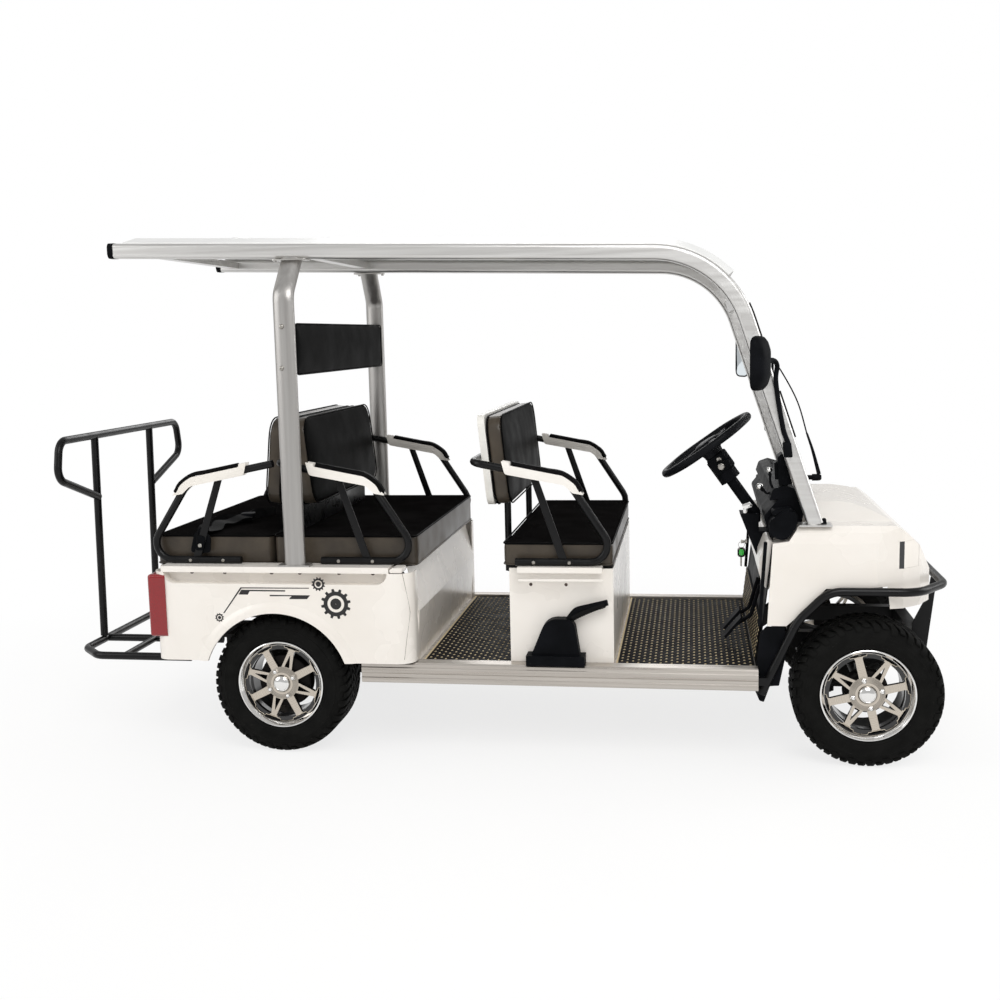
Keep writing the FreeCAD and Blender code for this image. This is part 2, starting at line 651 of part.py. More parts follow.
node(box(-s.bodyRear, t - s.bodyRear, s.bodyFit - returnEnd, returnEnd - s.bodyFit, s.bodyUnder,
         s.bodyTop - s.deckThick), "rear_end_panel")
riserLine = [(s.riserFoot, floorTop), (s.riserKnee, s.riserKneeHigh), (s.riserTop, deckUnder)]
riser = padded("xz", [(riserLine[0][0] - t, riserLine[0][1]), riserLine[0], riserLine[1], riserLine[2],
                      (riserLine[2][0] - t, riserLine[2][1]), (riserLine[1][0] - t, riserLine[1][1])],
               s.bodyFit - returnEnd, returnEnd - s.bodyFit)
node(riser, "riser_panel")
deckHalf = s.bodyHalf - s.deckRailWide
railUnder = s.deckRailTop - s.deckRailHigh
deckParts = [box(-s.bodyRear, s.riserTop, -deckHalf, deckHalf, deckUnder, s.bodyTop)]
for y0, y1 in ((deckHalf, s.bodyHalf), (-s.bodyHalf, -deckHalf)):
    deckParts.append(box(-s.deckRailRear, s.deckRailFront, y0, y1, railUnder, s.deckRailTop))
node(fuse(*deckParts), "seat_deck")

# tail lamps that wrap the two rear corners
lampBlock = box(-s.bodyRear - s.lampRear, s.lampForward - s.bodyRear, -s.bodyHalf - s.lampSide,
                s.lampInward - s.bodyHalf, s.lampLow, s.lampHigh)
lampRound = rounded(lampBlock, 12, lambda edge: edge.BoundBox.XMin < -float(s.bodyRear) - 5)
lampCore = padded("xy", bodyPlan(s.bodyFit), s.lampLow - 10, s.lampHigh + 10)
lampRight = cut(lampRound, lampCore)
lampLeft = doc.addObject("Part::Mirroring", "LampLeft")
lampLeft.Source = lampRight
lampLeft.Normal = Vector(0, 1, 0)
node(fuse(lampRight, lampLeft), "tail_lamps")

# Front bench
benchOuter = box(s.benchRear, s.benchFront, -benchHalf, benchHalf, floorTop, s.benchTop)
benchInner = box(s.benchRear + s.benchWall, s.benchFront - s.benchWall, s.benchWall - benchHalf,
                 benchHalf - s.benchWall,
                 floorTop - 1, s.benchTop + 1)
benchParts = [cut(benchOuter, benchInner)]
ledgeIn = cushionSide + 6
for inner, low, high in ((benchHalf - 1, s.deckRailTop - s.ledgeHigh, s.benchTop + 2),
                         (ledgeIn, s.benchTop, s.deckRailTop)):
    for y0, y1 in ((inner, ledgeSide), (-ledgeSide, -inner)):
        benchParts.append(box(s.ledgeRear, s.ledgeFront, y0, y1, low, high))
benchRaw = cut(fuse(*benchParts), box(s.benchRear - 5, s.benchFront + 5, 1 - benchHalf, benchHalf - 1,
                                      s.benchTop, s.deckRailTop + 5))
node(benchRaw, "bench_base")
batteryMid = (s.benchRear + s.benchFront) / 2
node(box(batteryMid - s.batteryLong / 2, batteryMid + s.batteryLong / 2, -s.batteryWide / 2,
         s.batteryWide / 2,
         floorTop, floorTop + s.batteryHigh), "battery_pack")
boardTop = s.benchTop + s.lidGap + s.seatBoard
board = box(s.frontCushionRear + s.boardInset, s.benchFront - 2, s.boardInset - benchHalf,
            benchHalf - s.boardInset,
            s.benchTop + s.lidGap, boardTop)
node(board, "front_seat_board")


def cushion(x0, x1, half, z0, z1):
    block = box(x0, x1, -half, half, z0, z1)
    return rounded(block, s.cushionRound, lambda edge: edge.BoundBox.ZMin > float(length(z1)) - 1)


node(cushion(s.frontCushionRear, s.frontCushionFront, cushionSide, boardTop, s.frontCushionTop),
     "front_cushion")
node(cushion(s.cushionGap / 2 - s.cushionSplit, s.rearCushionFront, cushionSide, s.bodyTop + s.bodyFit,
             s.rearCushionTop), "middle_cushion")
node(cushion(-s.rearCushionRear, -s.cushionSplit - s.cushionGap / 2, cushionSide, s.bodyTop + s.bodyFit,
             s.rearCushionTop), "rear_cushion")

# Backrests
def backPad(frontX, low, high, half, thick, lean, sign=1):
    run = high - low
    slope = tangent(lean) * run
    corners = [(frontX - thick * sign, low), (frontX, low), (frontX - slope * sign, high),
               (frontX - slope * sign - thick * sign, high)]
    if sign < 0:
        corners = corners[::-1]
    return padded("xz", corners, -half, half)


def tallEdges(edge):
    return edge.BoundBox.XLength > 20 and edge.BoundBox.ZLength < 1 and edge.BoundBox.YLength < 1


frontPad = rounded(backPad(s.frontBackFront, s.backBottom, s.backTop, s.backHalf, s.backThick,
                           s.backLean), s.backRound, tallEdges)
node(frontPad, "front_backrest")
shell = rounded(backPad(s.frontBackFront - s.backThick - s.bodyFit, s.backBottom, s.backTop, s.backHalf,
                        s.shellThick, s.backLean),
                s.backRound, tallEdges)
node(shell, "front_backrest_shell")
midPad = rounded(backPad(s.midBackFront, s.backBottom, s.backTop, s.backHalf, s.backThick, s.backLean),
                 s.backRound, tallEdges)
node(midPad, "middle_backrest")
rearPad = rounded(backPad(s.rearSeatMirror - s.midBackFront, s.backBottom, s.backTop, s.backHalf,
                          s.backThick, s.backLean, -1),
                  s.backRound, tallEdges)
node(rearPad, "rear_backrest")

# Armrests: one bent tube that runs from base to base behind each backrest
armFrontHigh = s.armHigh - (s.armFrontX - s.padRear) * tangent(s.armSlope)
armBaseZ = s.deckRailTop + s.armTube + s.bodyFit


def armX(x, sign, offset):
    return x + offset if sign > 0 else s.rearSeatMirror - (x - s.seatPitch)


# The half of an armrest's tube on the side +Y, from its foot up to where it turns inward.
def armLine(sign, offset):
    spots = [(s.armBaseRear, armBaseZ), (s.armFootX + 12, armBaseZ), (s.armKneeX, s.armKneeHigh),
             (s.armFrontX, armFrontHigh), (s.padRear, s.armHigh)]
    return [(armX(x, sign, offset), armSide, z) for x, z in spots]


def armStruts(sign, offset):
    low, high = armX(s.strutFootX, sign, offset), armX(s.strutTopX, sign, offset)
    w = s.strutWide / 2
    z0 = armBaseZ + s.armTube - 4
    z1 = s.armHigh - (s.strutTopX - s.padRear) * tangent(s.armSlope) - s.armTube + 2
    corners = [(low - w, z0), (low + w, z0), (high + w, z1), (high - w, z1)]
    return [padded("xz", corners, y - s.strutThick / 2, y + s.strutThick / 2) for y in (armSide,
            -armSide)]


def hoop(sign, offset, backX):
    half = armLine(sign, offset) + [(backX, armSide, s.armHigh)]
    bends = [s.armBend * 0.62, s.armBend, s.armBend, s.armBend, s.armBackBend]
    return tube(half + [(x, -y, z) for x, y, z in reversed(half)], bends + bends[::-1], s.armTube)


def armPads(sign, offset):
    lift = s.armTube / cosine(s.armSlope) + s.bodyFit
    rear, front = s.padRear + 6, s.armFrontX
    high = s.armHigh + lift - 6 * tangent(s.armSlope)
    corners = [(rear, high), (front + 9.7, armFrontHigh + 11.6), (front + 27.5, armFrontHigh - 18.7),
               (front + 37, armFrontHigh - 12.5),
               (front + 16, armFrontHigh + 25),
               (front - 10, high - (front - 10 - rear) * tangent(s.armSlope) + s.padThick),
               (rear, high + s.padThick)]
    corners = [(armX(x, sign, offset), z) for x, z in corners]
    return [padded("xz", corners, y - s.padWide / 2, y + s.padWide / 2) for y in (armSide, -armSide)]


# Front seat: the crossbar passes behind the backrest's shell, and two posts rise from the bench.
lean = tangent(s.backLean)
shellRear = s.frontBackFront - s.backThick - s.shellThick - s.bodyFit * 2 - (s.armHigh - s.backBottom) * lean
frontBarX = shellRear - s.armTube / cosine(s.backLean)
frontParts = [hoop(1, length(0), frontBarX)] + armStruts(1, length(0))
postLow = s.benchTop - 60
for sign in (-1, 1):
    frontParts.append(rod("z", s.postX, s.postY * sign, postLow, s.postRadius,
                          s.backBottom - s.bodyFit - postLow))
    frontParts.append(box(s.postX, s.benchRear - s.bodyFit, s.postY * sign - 20, s.postY * sign + 20,
                          postLow, s.benchTop - 8))
node(fuse(*frontParts), "front_armrests")

# Middle and rear seats: one crossbar between the two backrests, with a plinth and uprights that carry both.
barX = s.rearSeatMirror / 2
padRearLow = s.midBackFront - s.backThick - barX - s.bodyFit
padRearHigh = padRearLow - (s.uprightTop - s.backBottom) * lean
plinthLow = s.rearCushionTop + s.bodyFit
plinthTop = s.backBottom - s.bodyFit
middleParts = [hoop(1, -s.seatPitch, barX)] + armStruts(1, -s.seatPitch)
middleParts.append(box(barX - padRearLow, barX + padRearLow + 8, -s.plinthHalf, s.plinthHalf, plinthLow,
                       plinthTop))
for sign in (-1, 1):
    middleParts.append(padded("xz", [(barX - padRearLow, plinthTop - 1), (barX + padRearLow,
            plinthTop - 1), (barX + padRearLow, s.backBottom),
                                     (barX + padRearHigh, s.uprightTop), (barX - padRearHigh,
                                             s.uprightTop), (barX - padRearLow, s.backBottom)],
                              s.postY * sign - s.uprightWide / 2, s.postY * sign + s.uprightWide / 2))
node(fuse(*middleParts), "middle_armrests")
rearParts = armStruts(-1, -s.seatPitch)
endX = barX - s.armTube - 2
for sign in (-1, 1):
    line = [(x, y * sign, z) for x, y, z in armLine(-1, -s.seatPitch)] + [(endX, armSide * sign,
            s.armHigh)]
    rearParts.append(tube(line, [s.armBend * 0.62, s.armBend, s.armBend, s.armBend], s.armTube))
node(fuse(*rearParts), "rear_armrests")
node(fuse(*(armPads(1, length(0)) + armPads(1, -s.seatPitch) + armPads(-1, -s.seatPitch))), "arm_pads")

# Roof: rails that turn down into the windscreen pillars, and the panel between them
pillarBaseZ = s.cowlShoulder + s.baseFlange + s.bodyFit
roofCornerZ = s.roofRearZ - (s.roofCorner + s.roofRear) * tangent(s.roofSlope)
pillarBaseX = s.roofCorner + (roofCornerZ - pillarBaseZ) * tangent(s.screenLean)


def roofPath(y, rear, foot=None, turn=None):
    rearZ = s.roofRearZ - (s.roofRear - rear) * tangent(s.roofSlope)
    points = [(-rear, y, rearZ), (s.roofCorner, y, roofCornerZ), (pillarBaseX, y, pillarBaseZ)]
    wire = pathWire(points, [s.roofBend])
    if turn is None:
        return wire
    edges = wire.OrderedEdges
    arc = edges[1]
    share = float(turn) / (90 - float(s.screenLean) - float(s.roofSlope))
    first, last = arc.FirstParameter, arc.LastParameter
    part = arc.Curve.toShape(first, first + (last - first) * share)
    return Part.Wire([edges[0], part])


def roundedSection(wide, high, radius, place):
    w, h, r = float(length(wide)) / 2, float(length(high)) / 2, float(length(radius))
    corners = [Vector(-w, -h, 0), Vector(w, -h, 0), Vector(w, h, 0), Vector(-w, h, 0)]
    edges = []
    spots = []
    for i, p in enumerate(corners):
        back = (corners[i - 1] - p).normalize()
        ahead = (corners[(i + 1) % 4] - p).normalize()
        spots.append((p + back * r, p + (back + ahead) * (r * (1 - math.sqrt(0.5))), p + ahead * r))
    for i in range(4):
        edges.append(Part.Arc(*spots[i]).toShape())
        edges.append(Part.LineSegment(spots[i][2], spots[(i + 1) % 4][0]).toShape())
    obj = doc.addObject("Part::Feature", "Section")
    obj.Shape = Part.Wire(edges)
    obj.Placement = place
    return obj


slope = float(s.roofSlope)
facing = Rotation(Vector(0, 1, 0), Vector(math.sin(math.radians(slope)), 0,
                                          math.cos(math.radians(slope))),
                  Vector(math.cos(math.radians(slope)), 0, -math.sin(math.radians(slope))), "ZXY")


def roofRail(y):
    path = spine(roofPath(y, s.roofRear))
    start = Vector(-float(s.roofRear), float(y), float(s.roofRearZ))
    section = roundedSection(s.roofRailWide, s.roofRailHigh, s.roofRailRound, Placement(start, facing))
    return sweep(section, path)


railSweep = roofRail(-s.roofRailY)
flange = box(pillarBaseX - s.baseFlangeLong / 2, pillarBaseX + s.baseFlangeLong / 2,
             -s.roofRailY - s.baseFlangeHalf, s.baseFlangeHalf - s.roofRailY,
             pillarBaseZ - s.baseFlange, pillarBaseZ)
footTrim = box(pillarBaseX - 200, pillarBaseX + 200, -s.roofRailY - 100, 100 - s.roofRailY,
               pillarBaseZ - 200, pillarBaseZ - s.baseFlange)
roofRight = cut(fuse(railSweep, flange), footTrim)
node(roofRight, "roof_rail_right")
mirrored(roofRight, "roof_rail_left")

panelPath = spine(roofPath(length(0), s.roofPanelRear, turn=s.roofPanelTurn))
half, lift, crown, thick = (float(v) for v in (s.roofPanelHalf, s.roofRailHigh / 2, s.roofCrown,
                                               s.roofPanelThick))
shoulder = float(s.roofShoulder)
seat = lift + float(s.bodyFit)
upper = [(-half, seat + thick), (-shoulder, lift + crown * 0.72), (-shoulder * 0.5, lift + crown * 0.93),
         (0, lift + crown),
         (shoulder * 0.5, lift + crown * 0.93), (shoulder, lift + crown * 0.72), (half, seat + thick)]
lower = [(y, z - thick) for y, z in reversed(upper)]
panelSection = doc.addObject("Part::Feature", "PanelSection")
panelSection.Shape = Part.makePolygon([Vector(y, z, 0) for y, z in upper + lower + upper[:1]])
panelStep = float(s.roofRear) - float(s.roofPanelRear)
panelStart = Vector(-float(s.roofPanelRear), 0, float(s.roofRearZ) - panelStep * math.tan(math.radians(slope)))
panelSection.Placement = Placement(panelStart, facing)
node(sweep(panelSection, panelPath), "roof_panel")

railInnerY = s.roofRailY - s.roofRailWide / 2 - s.bodyFit


def roofZ(x):
    return s.roofRearZ - (s.roofRear + x) * tangent(s.roofSlope)


bars = []
for x in (24 - s.roofPanelRear, s.midBarX - s.roofBarWide / 2):
    z = roofZ(x)
    bars.append(box(x, x + s.roofBarWide, -railInnerY, railInnerY, z - s.roofBarHigh / 2,
                    z + s.roofBarHigh / 2))
headerZ = roofCornerZ - 190
headerX = s.roofCorner + (roofCornerZ - headerZ) * tangent(s.screenLean)
bars.append(place(box(0, 26, -railInnerY, railInnerY, 0, 44), headerX - 20, -railInnerY, headerZ,
                  (0, 1, 0), -s.screenLean))
node(fuse(*bars), "roof_bars")

# rear pillars, trimmed to the underside of the rails
pathPoints = [(s.pillarX, -pillarSide, s.deckRailTop + s.pillarFoot - 1), (s.pillarX, -pillarSide,
        s.pillarBend),
              (s.pillarTopX, -s.pillarTopY + 12, s.pillarTopZ + 16)]
pillarPath = spine(pathWire(pathPoints, [s.pillarBendRadius]))
pillarSection = doc.addObject("Part::Ellipse", "PillarSection")
bind(pillarSection, "MajorRadius", s.pillarLong / 2)
bind(pillarSection, "MinorRadius", s.pillarWide / 2)
place(pillarSection, s.pillarX, -pillarSide, s.deckRailTop + s.pillarFoot - 1)
foot = box(s.pillarX - s.pillarFootLong / 2, s.pillarX + s.pillarFootLong / 2, -s.bodyHalf + 1,
           4 - pillarSide + s.pillarWide / 2, s.deckRailTop, s.deckRailTop + s.pillarFoot)
pillar = cut(fuse(sweep(pillarSection, pillarPath), foot), roofRail(-s.roofRailY))
node(pillar, "rear_pillar_right")
mirrored(pillar, "rear_pillar_left")
headHalf = pillarSide - s.pillarWide / 2 - s.bodyFit
headPad = box(s.headFront - s.headThick, s.headFront, -headHalf, headHalf, s.headLow, s.headHigh)
node(rounded(headPad, 16, lambda edge: edge.BoundBox.XLength > 20), "head_pad")

# Windscreen, dash, column
glass = box(0, s.glassThick, -railInnerY, railInnerY, 0, s.glassLength)
glassX = s.roofCorner + (roofCornerZ - s.glassFoot) * tangent(s.screenLean) + s.glassForward
node(place(glass, glassX, -railInnerY, s.glassFoot, (0, 1, 0), -s.screenLean), "windscreen")

dashCorners = [(s.dashRear + 22, s.dashLow), (s.dashFront - 14, s.dashLow), (s.dashFront, s.dashTop - 40),
               (s.dashFront - 24, s.dashTop),
               (s.dashRear + 50, s.dashTop, 20), (s.dashRear, s.dashTop - 62, 20)]
dash = padded("xz", dashCorners, -s.dashHalf, s.dashHalf)
node(dash, "dash")

wallRun = s.wallTopX - s.wallFootX
wallTop = s.dashLow - s.bodyFit


def wallX(z):
    return s.wallFootX + wallRun * (z - floorTop) / (wallTop - floorTop)


wall = padded("xz", [(s.wallFootX, floorTop), (s.wallFootX + t, floorTop), (s.wallTopX + t, wallTop),
                     (s.wallTopX, wallTop)],
              -wallHalf, wallHalf)
wallTrims = [box(s.wallFootX, s.wallTopX + 30, y0, y1, s.cowlNotch - s.cowlWall - s.bodyFit,
                 s.dashLow + 10)
             for y0, y1 in ((-wallHalf - 5, -s.dashHalf), (s.dashHalf, wallHalf + 5))]
node(cut(wall, *wallTrims), "front_wall")

tilt = s.columnTilt
shroud = padded("xz", [(s.shroudRear, s.shroudTop), (s.dashRear - 10, s.shroudTop), (s.dashRear - 10,
        s.dashLow - 2),
                       (wallX(s.dashLow - 2) - s.bodyFit, s.dashLow - 2),
                       (wallX(s.shroudFoot) - s.bodyFit, s.shroudFoot),
                       (wallX(s.shroudFoot) - 20, s.shroudFoot - 4)],
                -s.driverY - s.shroudWide / 2, s.shroudWide / 2 - s.driverY)
column = doc.addObject("Part::Cylinder", "Column")
bind(column, "Radius", s.columnRadius)
bind(column, "Height", s.columnLength - 40)
place(column, s.wheelHubX + 40 * sine(tilt), -s.driverY, s.wheelHubZ - 40 * cosine(tilt), (0, 1, 0),
      180 - tilt)
switch = doc.addObject("Part::Cylinder", "Switch")
bind(switch, "Radius", s.switchRadius)
bind(switch, "Height", s.switchLong)
place(switch, s.wheelHubX + 62 * sine(tilt), -s.driverY, s.wheelHubZ - 62 * cosine(tilt), (0, 1, 0),
      180 - tilt)
node(cut(fuse(shroud, column, switch), box(s.dashRear - 2, s.dashFront, -s.driverY - 100, 100 - s.driverY,
                                           s.dashLow - 1, s.dashTop + 40)), "steering_column")

ring = doc.addObject("Part::Torus", "Ring")
bind(ring, "Radius1", s.ringRadius)
bind(ring, "Radius2", s.ringThick)
wheelParts = [ring, rod("z", 0, 0, s.bodyFit - 40, s.ringHub, 36 - s.bodyFit)]
for angle in (90, 180, 270):
    spoke = box(20, s.ringRadius, -s.spokeWide / 2, s.spokeWide / 2, -14, -4)
    arm = doc.addObject("Part::MultiFuse", "Arm")
    arm.Shapes = [spoke, rod("z", s.ringRadius - 8, 0, -12, 6, 10)]
    arm.Placement = Placement(Vector(), Rotation(Vector(0, 0, 1), angle))
    wheelParts.append(arm)
wheel = fuse(*wheelParts)
place(wheel, 0, 0, 0, (0, 1, 0), -tilt)
node(wheel, "steering_wheel", x=s.wheelHubX, y=-s.driverY, z=s.wheelHubZ)

pedals = []
for y in (s.brakeY, s.throttleY):
    pad = place(box(0, 10, 0, s.pedalWide, 0, s.pedalLong), s.pedalX, -y - s.pedalWide / 2, s.pedalZ,
                (0, 1, 0), s.pedalTilt)
    midX = s.pedalX + s.pedalLong / 2 * sine(s.pedalTilt) + 6
    midZ = s.pedalZ + s.pedalLong / 2 * cosine(s.pedalTilt) - 2
    arm = tube([(midX, -y, midZ), (midX + 62, -y, midZ + 40), (wallX(s.pedalZ + 190) - 9, -y,
                                                               s.pedalZ + 190)], [30], 7)
    low, high = s.pedalZ + 160, s.pedalZ + 215
    plate = padded("xz", [(wallX(low) - s.bodyFit - 8, low), (wallX(low) - s.bodyFit, low),
                          (wallX(high) - s.bodyFit, high),
                          (wallX(high) - s.bodyFit - 8, high)], -y - 20, 20 - y)
    pedals.append(fuse(pad, arm, plate))
node(fuse(*pedals), "pedals")

# Front body
def cowlSide(inset):
    return [(s.cowlRear + inset * 0, s.cowlUnder), (s.cowlRear + 66, s.cowlUnder), (s.bumperKneeX - 12,
            s.bumperKneeZ),
            (s.bumperTurnX - 8, s.cowlEdge - 8), (s.valanceRear, s.cowlEdge), (s.valanceRear + 10,
                    s.valanceLow),
            (s.cowlNose, s.valanceLow), (s.cowlNose + 2 - inset, s.valanceLow + 60),
            (s.cowlNose - 48 - inset, 720 - inset * 0.4), (2302 - inset, 775 - inset * 0.7),
            (2257 - inset, 820 - inset), (2206, 856 - inset), (2150, 880 - inset), (2090, 895 - inset),
            (1990, s.cowlTop - inset),
            (1920, s.cowlTop - inset), (1905, s.cowlShoulder - inset), (1884, s.cowlShoulder - inset),
            (1850, 798 - inset), (s.cowlRear + 17, s.cowlNotch - inset)]


def cowlPlan(inset):
    half = cowlHalf - inset
    right = [(s.cowlRear - 10, -half), (2150, -half), (2240, -(half - 30)), (2306, -(half - 92)),
             (2352, -(half - 176)), (s.cowlNose - 10 - inset, -(half - 300)),
             (s.cowlNose + 4 - inset, -(half - 430))]
    return right + [(x, -y) for x, y in reversed(right)]


def cowlFront(inset):
    half = cowlHalf - inset
    right = [(-half, s.cowlUnder - 10), (-half, s.cowlShoulder - 60 - inset),
             (-(half - 8), s.cowlShoulder - 22 - inset), (-(half - 30), s.cowlShoulder - inset),
             (-(half - 130), s.cowlShoulder - inset),
             (-(half - 215), s.cowlShoulder + 26 - inset), (-(half - 300), s.cowlTop - 8 - inset),
             (-(half - 420), s.cowlTop - inset)]
    return right + [(-y, z) for y, z in reversed(right)]


def cowlBlock(inset):
    inset = length(inset)
    return common(padded("xz", cowlSide(inset), -cowlHalf - 50, cowlHalf + 50),
                  padded("xy", cowlPlan(inset), s.cowlUnder - 20, s.cowlTop + 20),
                  padded("yz", cowlFront(inset), s.cowlRear - 10, s.cowlNose + 10))


inner = common(padded("xy", cowlPlan(s.cowlWall), s.cowlUnder - 40, s.cowlTop + 20),
               padded("yz", cowlFront(s.cowlWall)[:1] + cowlFront(s.cowlWall)[1:], s.cowlRear - 10,
                      s.cowlNose + 10),
               padded("xz", [(s.cowlRear - 5, s.cowlUnder - 30), (s.cowlNose - s.cowlWall,
                       s.cowlUnder - 30)] + cowlSide(s.cowlWall)[7:-1]
                      + [(s.cowlRear - 5, s.cowlNotch - s.cowlWall)], -cowlHalf - 50, cowlHalf + 50))
dashRoom = box(s.cowlRear - 30, s.dashFront + 18, -s.dashHalf - 4, s.dashHalf + 4, s.cowlUnder - 50,
               s.cowlTop + 50)
lampRoom = [box(2196, 2300, y0, y1, 700, 796) for y0, y1 in ((-540, -385), (385, 540))]
cowlShell = cut(cowlBlock(0), inner, dashRoom)
node(cut(cowlShell, *lampRoom), "cowl")
node(common(cut(cowlBlock(0.6), inner), fuse(*[box(2196.6, 2299.4, y0, y1, 700.6, 795.4) for y0,
                                               y1 in ((-540, -385.6), (385.6, 540))])), "headlamps")

# bumper: one tube round the nose, down behind the wheels to the sills
rightHalf = [(s.bumperFootX, -bumperSide, s.bumperFootZ), (s.bumperKneeX, -bumperSide, s.bumperKneeZ),
             (s.bumperTurnX, -bumperSide, s.bumperZ),
             (s.bumperCornerX, -bumperSide, s.bumperZ), (s.frontEnd - s.bumperTube, -bumperNoseSide,
                                                         s.bumperZ)]
loop = rightHalf + [(x, -y, z) for x, y, z in reversed(rightHalf)]
turns = [s.bumperBend * 1.6, s.bumperBend, s.bumperBend, s.bumperBend]
bumperTube = tube(loop, turns + turns[::-1], s.bumperTube)
brackets = []
for y in (s.railOuter + s.bodyFit, -s.railOuter - s.bodyFit - s.bracketThick):
    brackets.append(padded("xz", [(s.railFront - 50, s.railHighLevel + 4), (s.railFront + 4,
            s.railHighLevel + 4), (s.frontEnd - s.bumperTube + 8, s.bumperZ - s.bumperTube + 5),
                                  (s.frontEnd - s.bumperTube - 14, s.bumperZ - s.bumperTube + 5),
                                  (s.cowlNose - 4, s.valanceLow - 8), (s.railFront - 50,
                                          s.railHighLevel + s.railHigh + 40)],
                          y, y + s.bracketThick))
for y0, y1 in ((sillIn + 4, sillIn + 32), (-sillIn - 32, -sillIn - 4)):
    brackets.append(box(s.sillFront + s.bodyFit, s.bumperFootX + 20, y0, y1, s.sillUnder + 12,
                        s.sillUnder + 40))
node(fuse(bumperTube, *brackets), "bumper")

# mirrors on bent arms clamped to the windscreen pillars
mirrorBlock = box(s.mirrorX - s.mirrorThick / 2, s.mirrorX + s.mirrorThick / 2, -s.mirrorOuter,
                  -s.mirrorInner, s.mirrorLow, s.mirrorHigh)
mirrorShell = rounded(mirrorBlock, 18, lambda edge: edge.BoundBox.XMax > float(s.mirrorX) + 1)
clampZ = 1140
clampX = float(pillarBaseX) - (clampZ - float(pillarBaseZ)) * math.tan(math.radians(float(s.screenLean)))
armY = -s.roofRailY - s.roofRailWide / 2 - s.mirrorArm - 1
mirrorArm = tube([(clampX, armY, clampZ - 30), (s.mirrorX + 62, armY, 1395), (s.mirrorX + 8,
        -s.mirrorInner - 30, 1405)], [30], s.mirrorArm)
clamp = box(clampX - 14, clampX + 14, armY - 12, -s.roofRailY - s.roofRailWide / 2 - s.bodyFit,
            clampZ - 45, clampZ + 5)
mirrorRight = fuse(mirrorShell, mirrorArm, clamp)
mirrorLeft = doc.addObject("Part::Mirroring", "MirrorLeft")
mirrorLeft.Source = mirrorRight
mirrorLeft.Normal = Vector(0, 1, 0)
node(fuse(mirrorRight, mirrorLeft), "mirrors")

# wiper
def glassFront(z):
    return glassX - (z - s.glassFoot) * tangent(s.screenLean) + s.glassThick / cosine(s.screenLean)


wiperTop = s.wiperMiddle
wiperBase = rod("z", s.wiperX, -s.wiperY, s.cowlTop, 12, 30)
wiperArm = tube([(s.wiperX, -s.wiperY, s.cowlTop + 20), (s.wiperX + 8, -s.wiperY, s.cowlTop + 66),
                 (s.wiperX - 36, -s.wiperY, 1110),
                 (glassFront(wiperTop) + 12, -s.wiperY, wiperTop)], [20, 60], 6)
wiperFoot = wiperTop - s.bladeLong / 2 * cosine(s.screenLean)
wiperBlade = place(box(0, 12, 0, 10, 0, s.bladeLong), glassFront(wiperFoot) + 3, -s.wiperY - 5, wiperFoot,
                   (0, 1, 0), -s.screenLean)
node(fuse(wiperBase, wiperArm, wiperBlade), "wiper")

# Handbrake beside the front bench
brakeMid = (s.brakeRear + s.brakeFront) / 2
cover = padded("xz", [(s.brakeRear, s.brakeLow), (s.brakeFront, s.brakeLow), (s.brakeFront - 20,
        s.brakeTop, 40), (s.brakeRear + 55, s.brakeTop, 60)],
               -brakeOutside, -brakeInside)
lever = tube([(brakeMid + 20, -(brakeInside + brakeOutside) / 2, s.brakeTop - 40), (s.brakeFront - 14,
        -(brakeInside + brakeOutside) / 2, s.brakeTop + 30),
              (s.brakeFront + 100, -(brakeInside + brakeOutside) / 2, s.brakeTop + 58)], [40],
              s.brakeLever)
bracket = box(s.brakeRear - 18, s.brakeFront + 18, -brakeOutside - 16, -benchHalf - 1, sillTop,
              s.brakeLow)
node(fuse(cover, lever, bracket), "handbrake")

# Front axle, knuckles, tie rod
axleZ = s.wheelRadius
halfKnuckle = s.knuckleHeight / 2
beamHalf = s.kingpinY - s.knuckleRadius - 18
beam = rod("y", s.wheelBase, -beamHalf, axleZ, s.beamRadius, beamHalf * 2)
axleParts = [beam]
for sign in (-1, 1):
    y = s.kingpinY * sign
    inward = (s.kingpinY - s.knuckleRadius - 14) * sign
    low, high = (inward, y) if sign > 0 else (y, inward)
    for z0, z1 in ((axleZ + halfKnuckle + 1, axleZ + halfKnuckle + 13), (axleZ - halfKnuckle - 13,
            axleZ - halfKnuckle - 1)):
        axleParts.append(box(s.wheelBase - 18, s.wheelBase + 18, low, high, z0, z1))
        axleParts.append(rod("z", s.wheelBase, y, z0, 20, z1 - z0))
    low2, high2 = (inward - 14, inward) if sign > 0 else (inward, inward + 14)
    axleParts.append(box(s.wheelBase - 18, s.wheelBase + 18, low2, high2, axleZ - halfKnuckle - 13,
                         axleZ + halfKnuckle + 13))
    axleParts.append(rod("z", s.wheelBase, y, axleZ - halfKnuckle - 13, s.kingpinRadius,
                         s.knuckleHeight + 26))


# A leaf spring that sags from two eyes under the rails to its saddle on the axle.
def leafSpring(x, y, halfLong, saddleZ):
    eyeZ = s.railHighLevel - s.bodyFit - s.springThick
    sag = eyeZ - saddleZ
    points = [(x - halfLong, eyeZ), (x - halfLong * 0.5, eyeZ - sag * 0.75), (x - 30, saddleZ),
              (x + 30, saddleZ),
              (x + halfLong * 0.5, eyeZ - sag * 0.75), (x + halfLong, eyeZ)]
    corners = points + [(px, pz + s.springThick) for px, pz in reversed(points)]
    return padded("xz", corners, y - s.springWide / 2, y + s.springWide / 2)


for sign in (-1, 1):
    axleParts.append(leafSpring(s.wheelBase, s.frontSpringY * sign, s.frontSpringHalf,
                                axleZ + s.beamRadius - 3))
node(fuse(*axleParts), "front_axle")

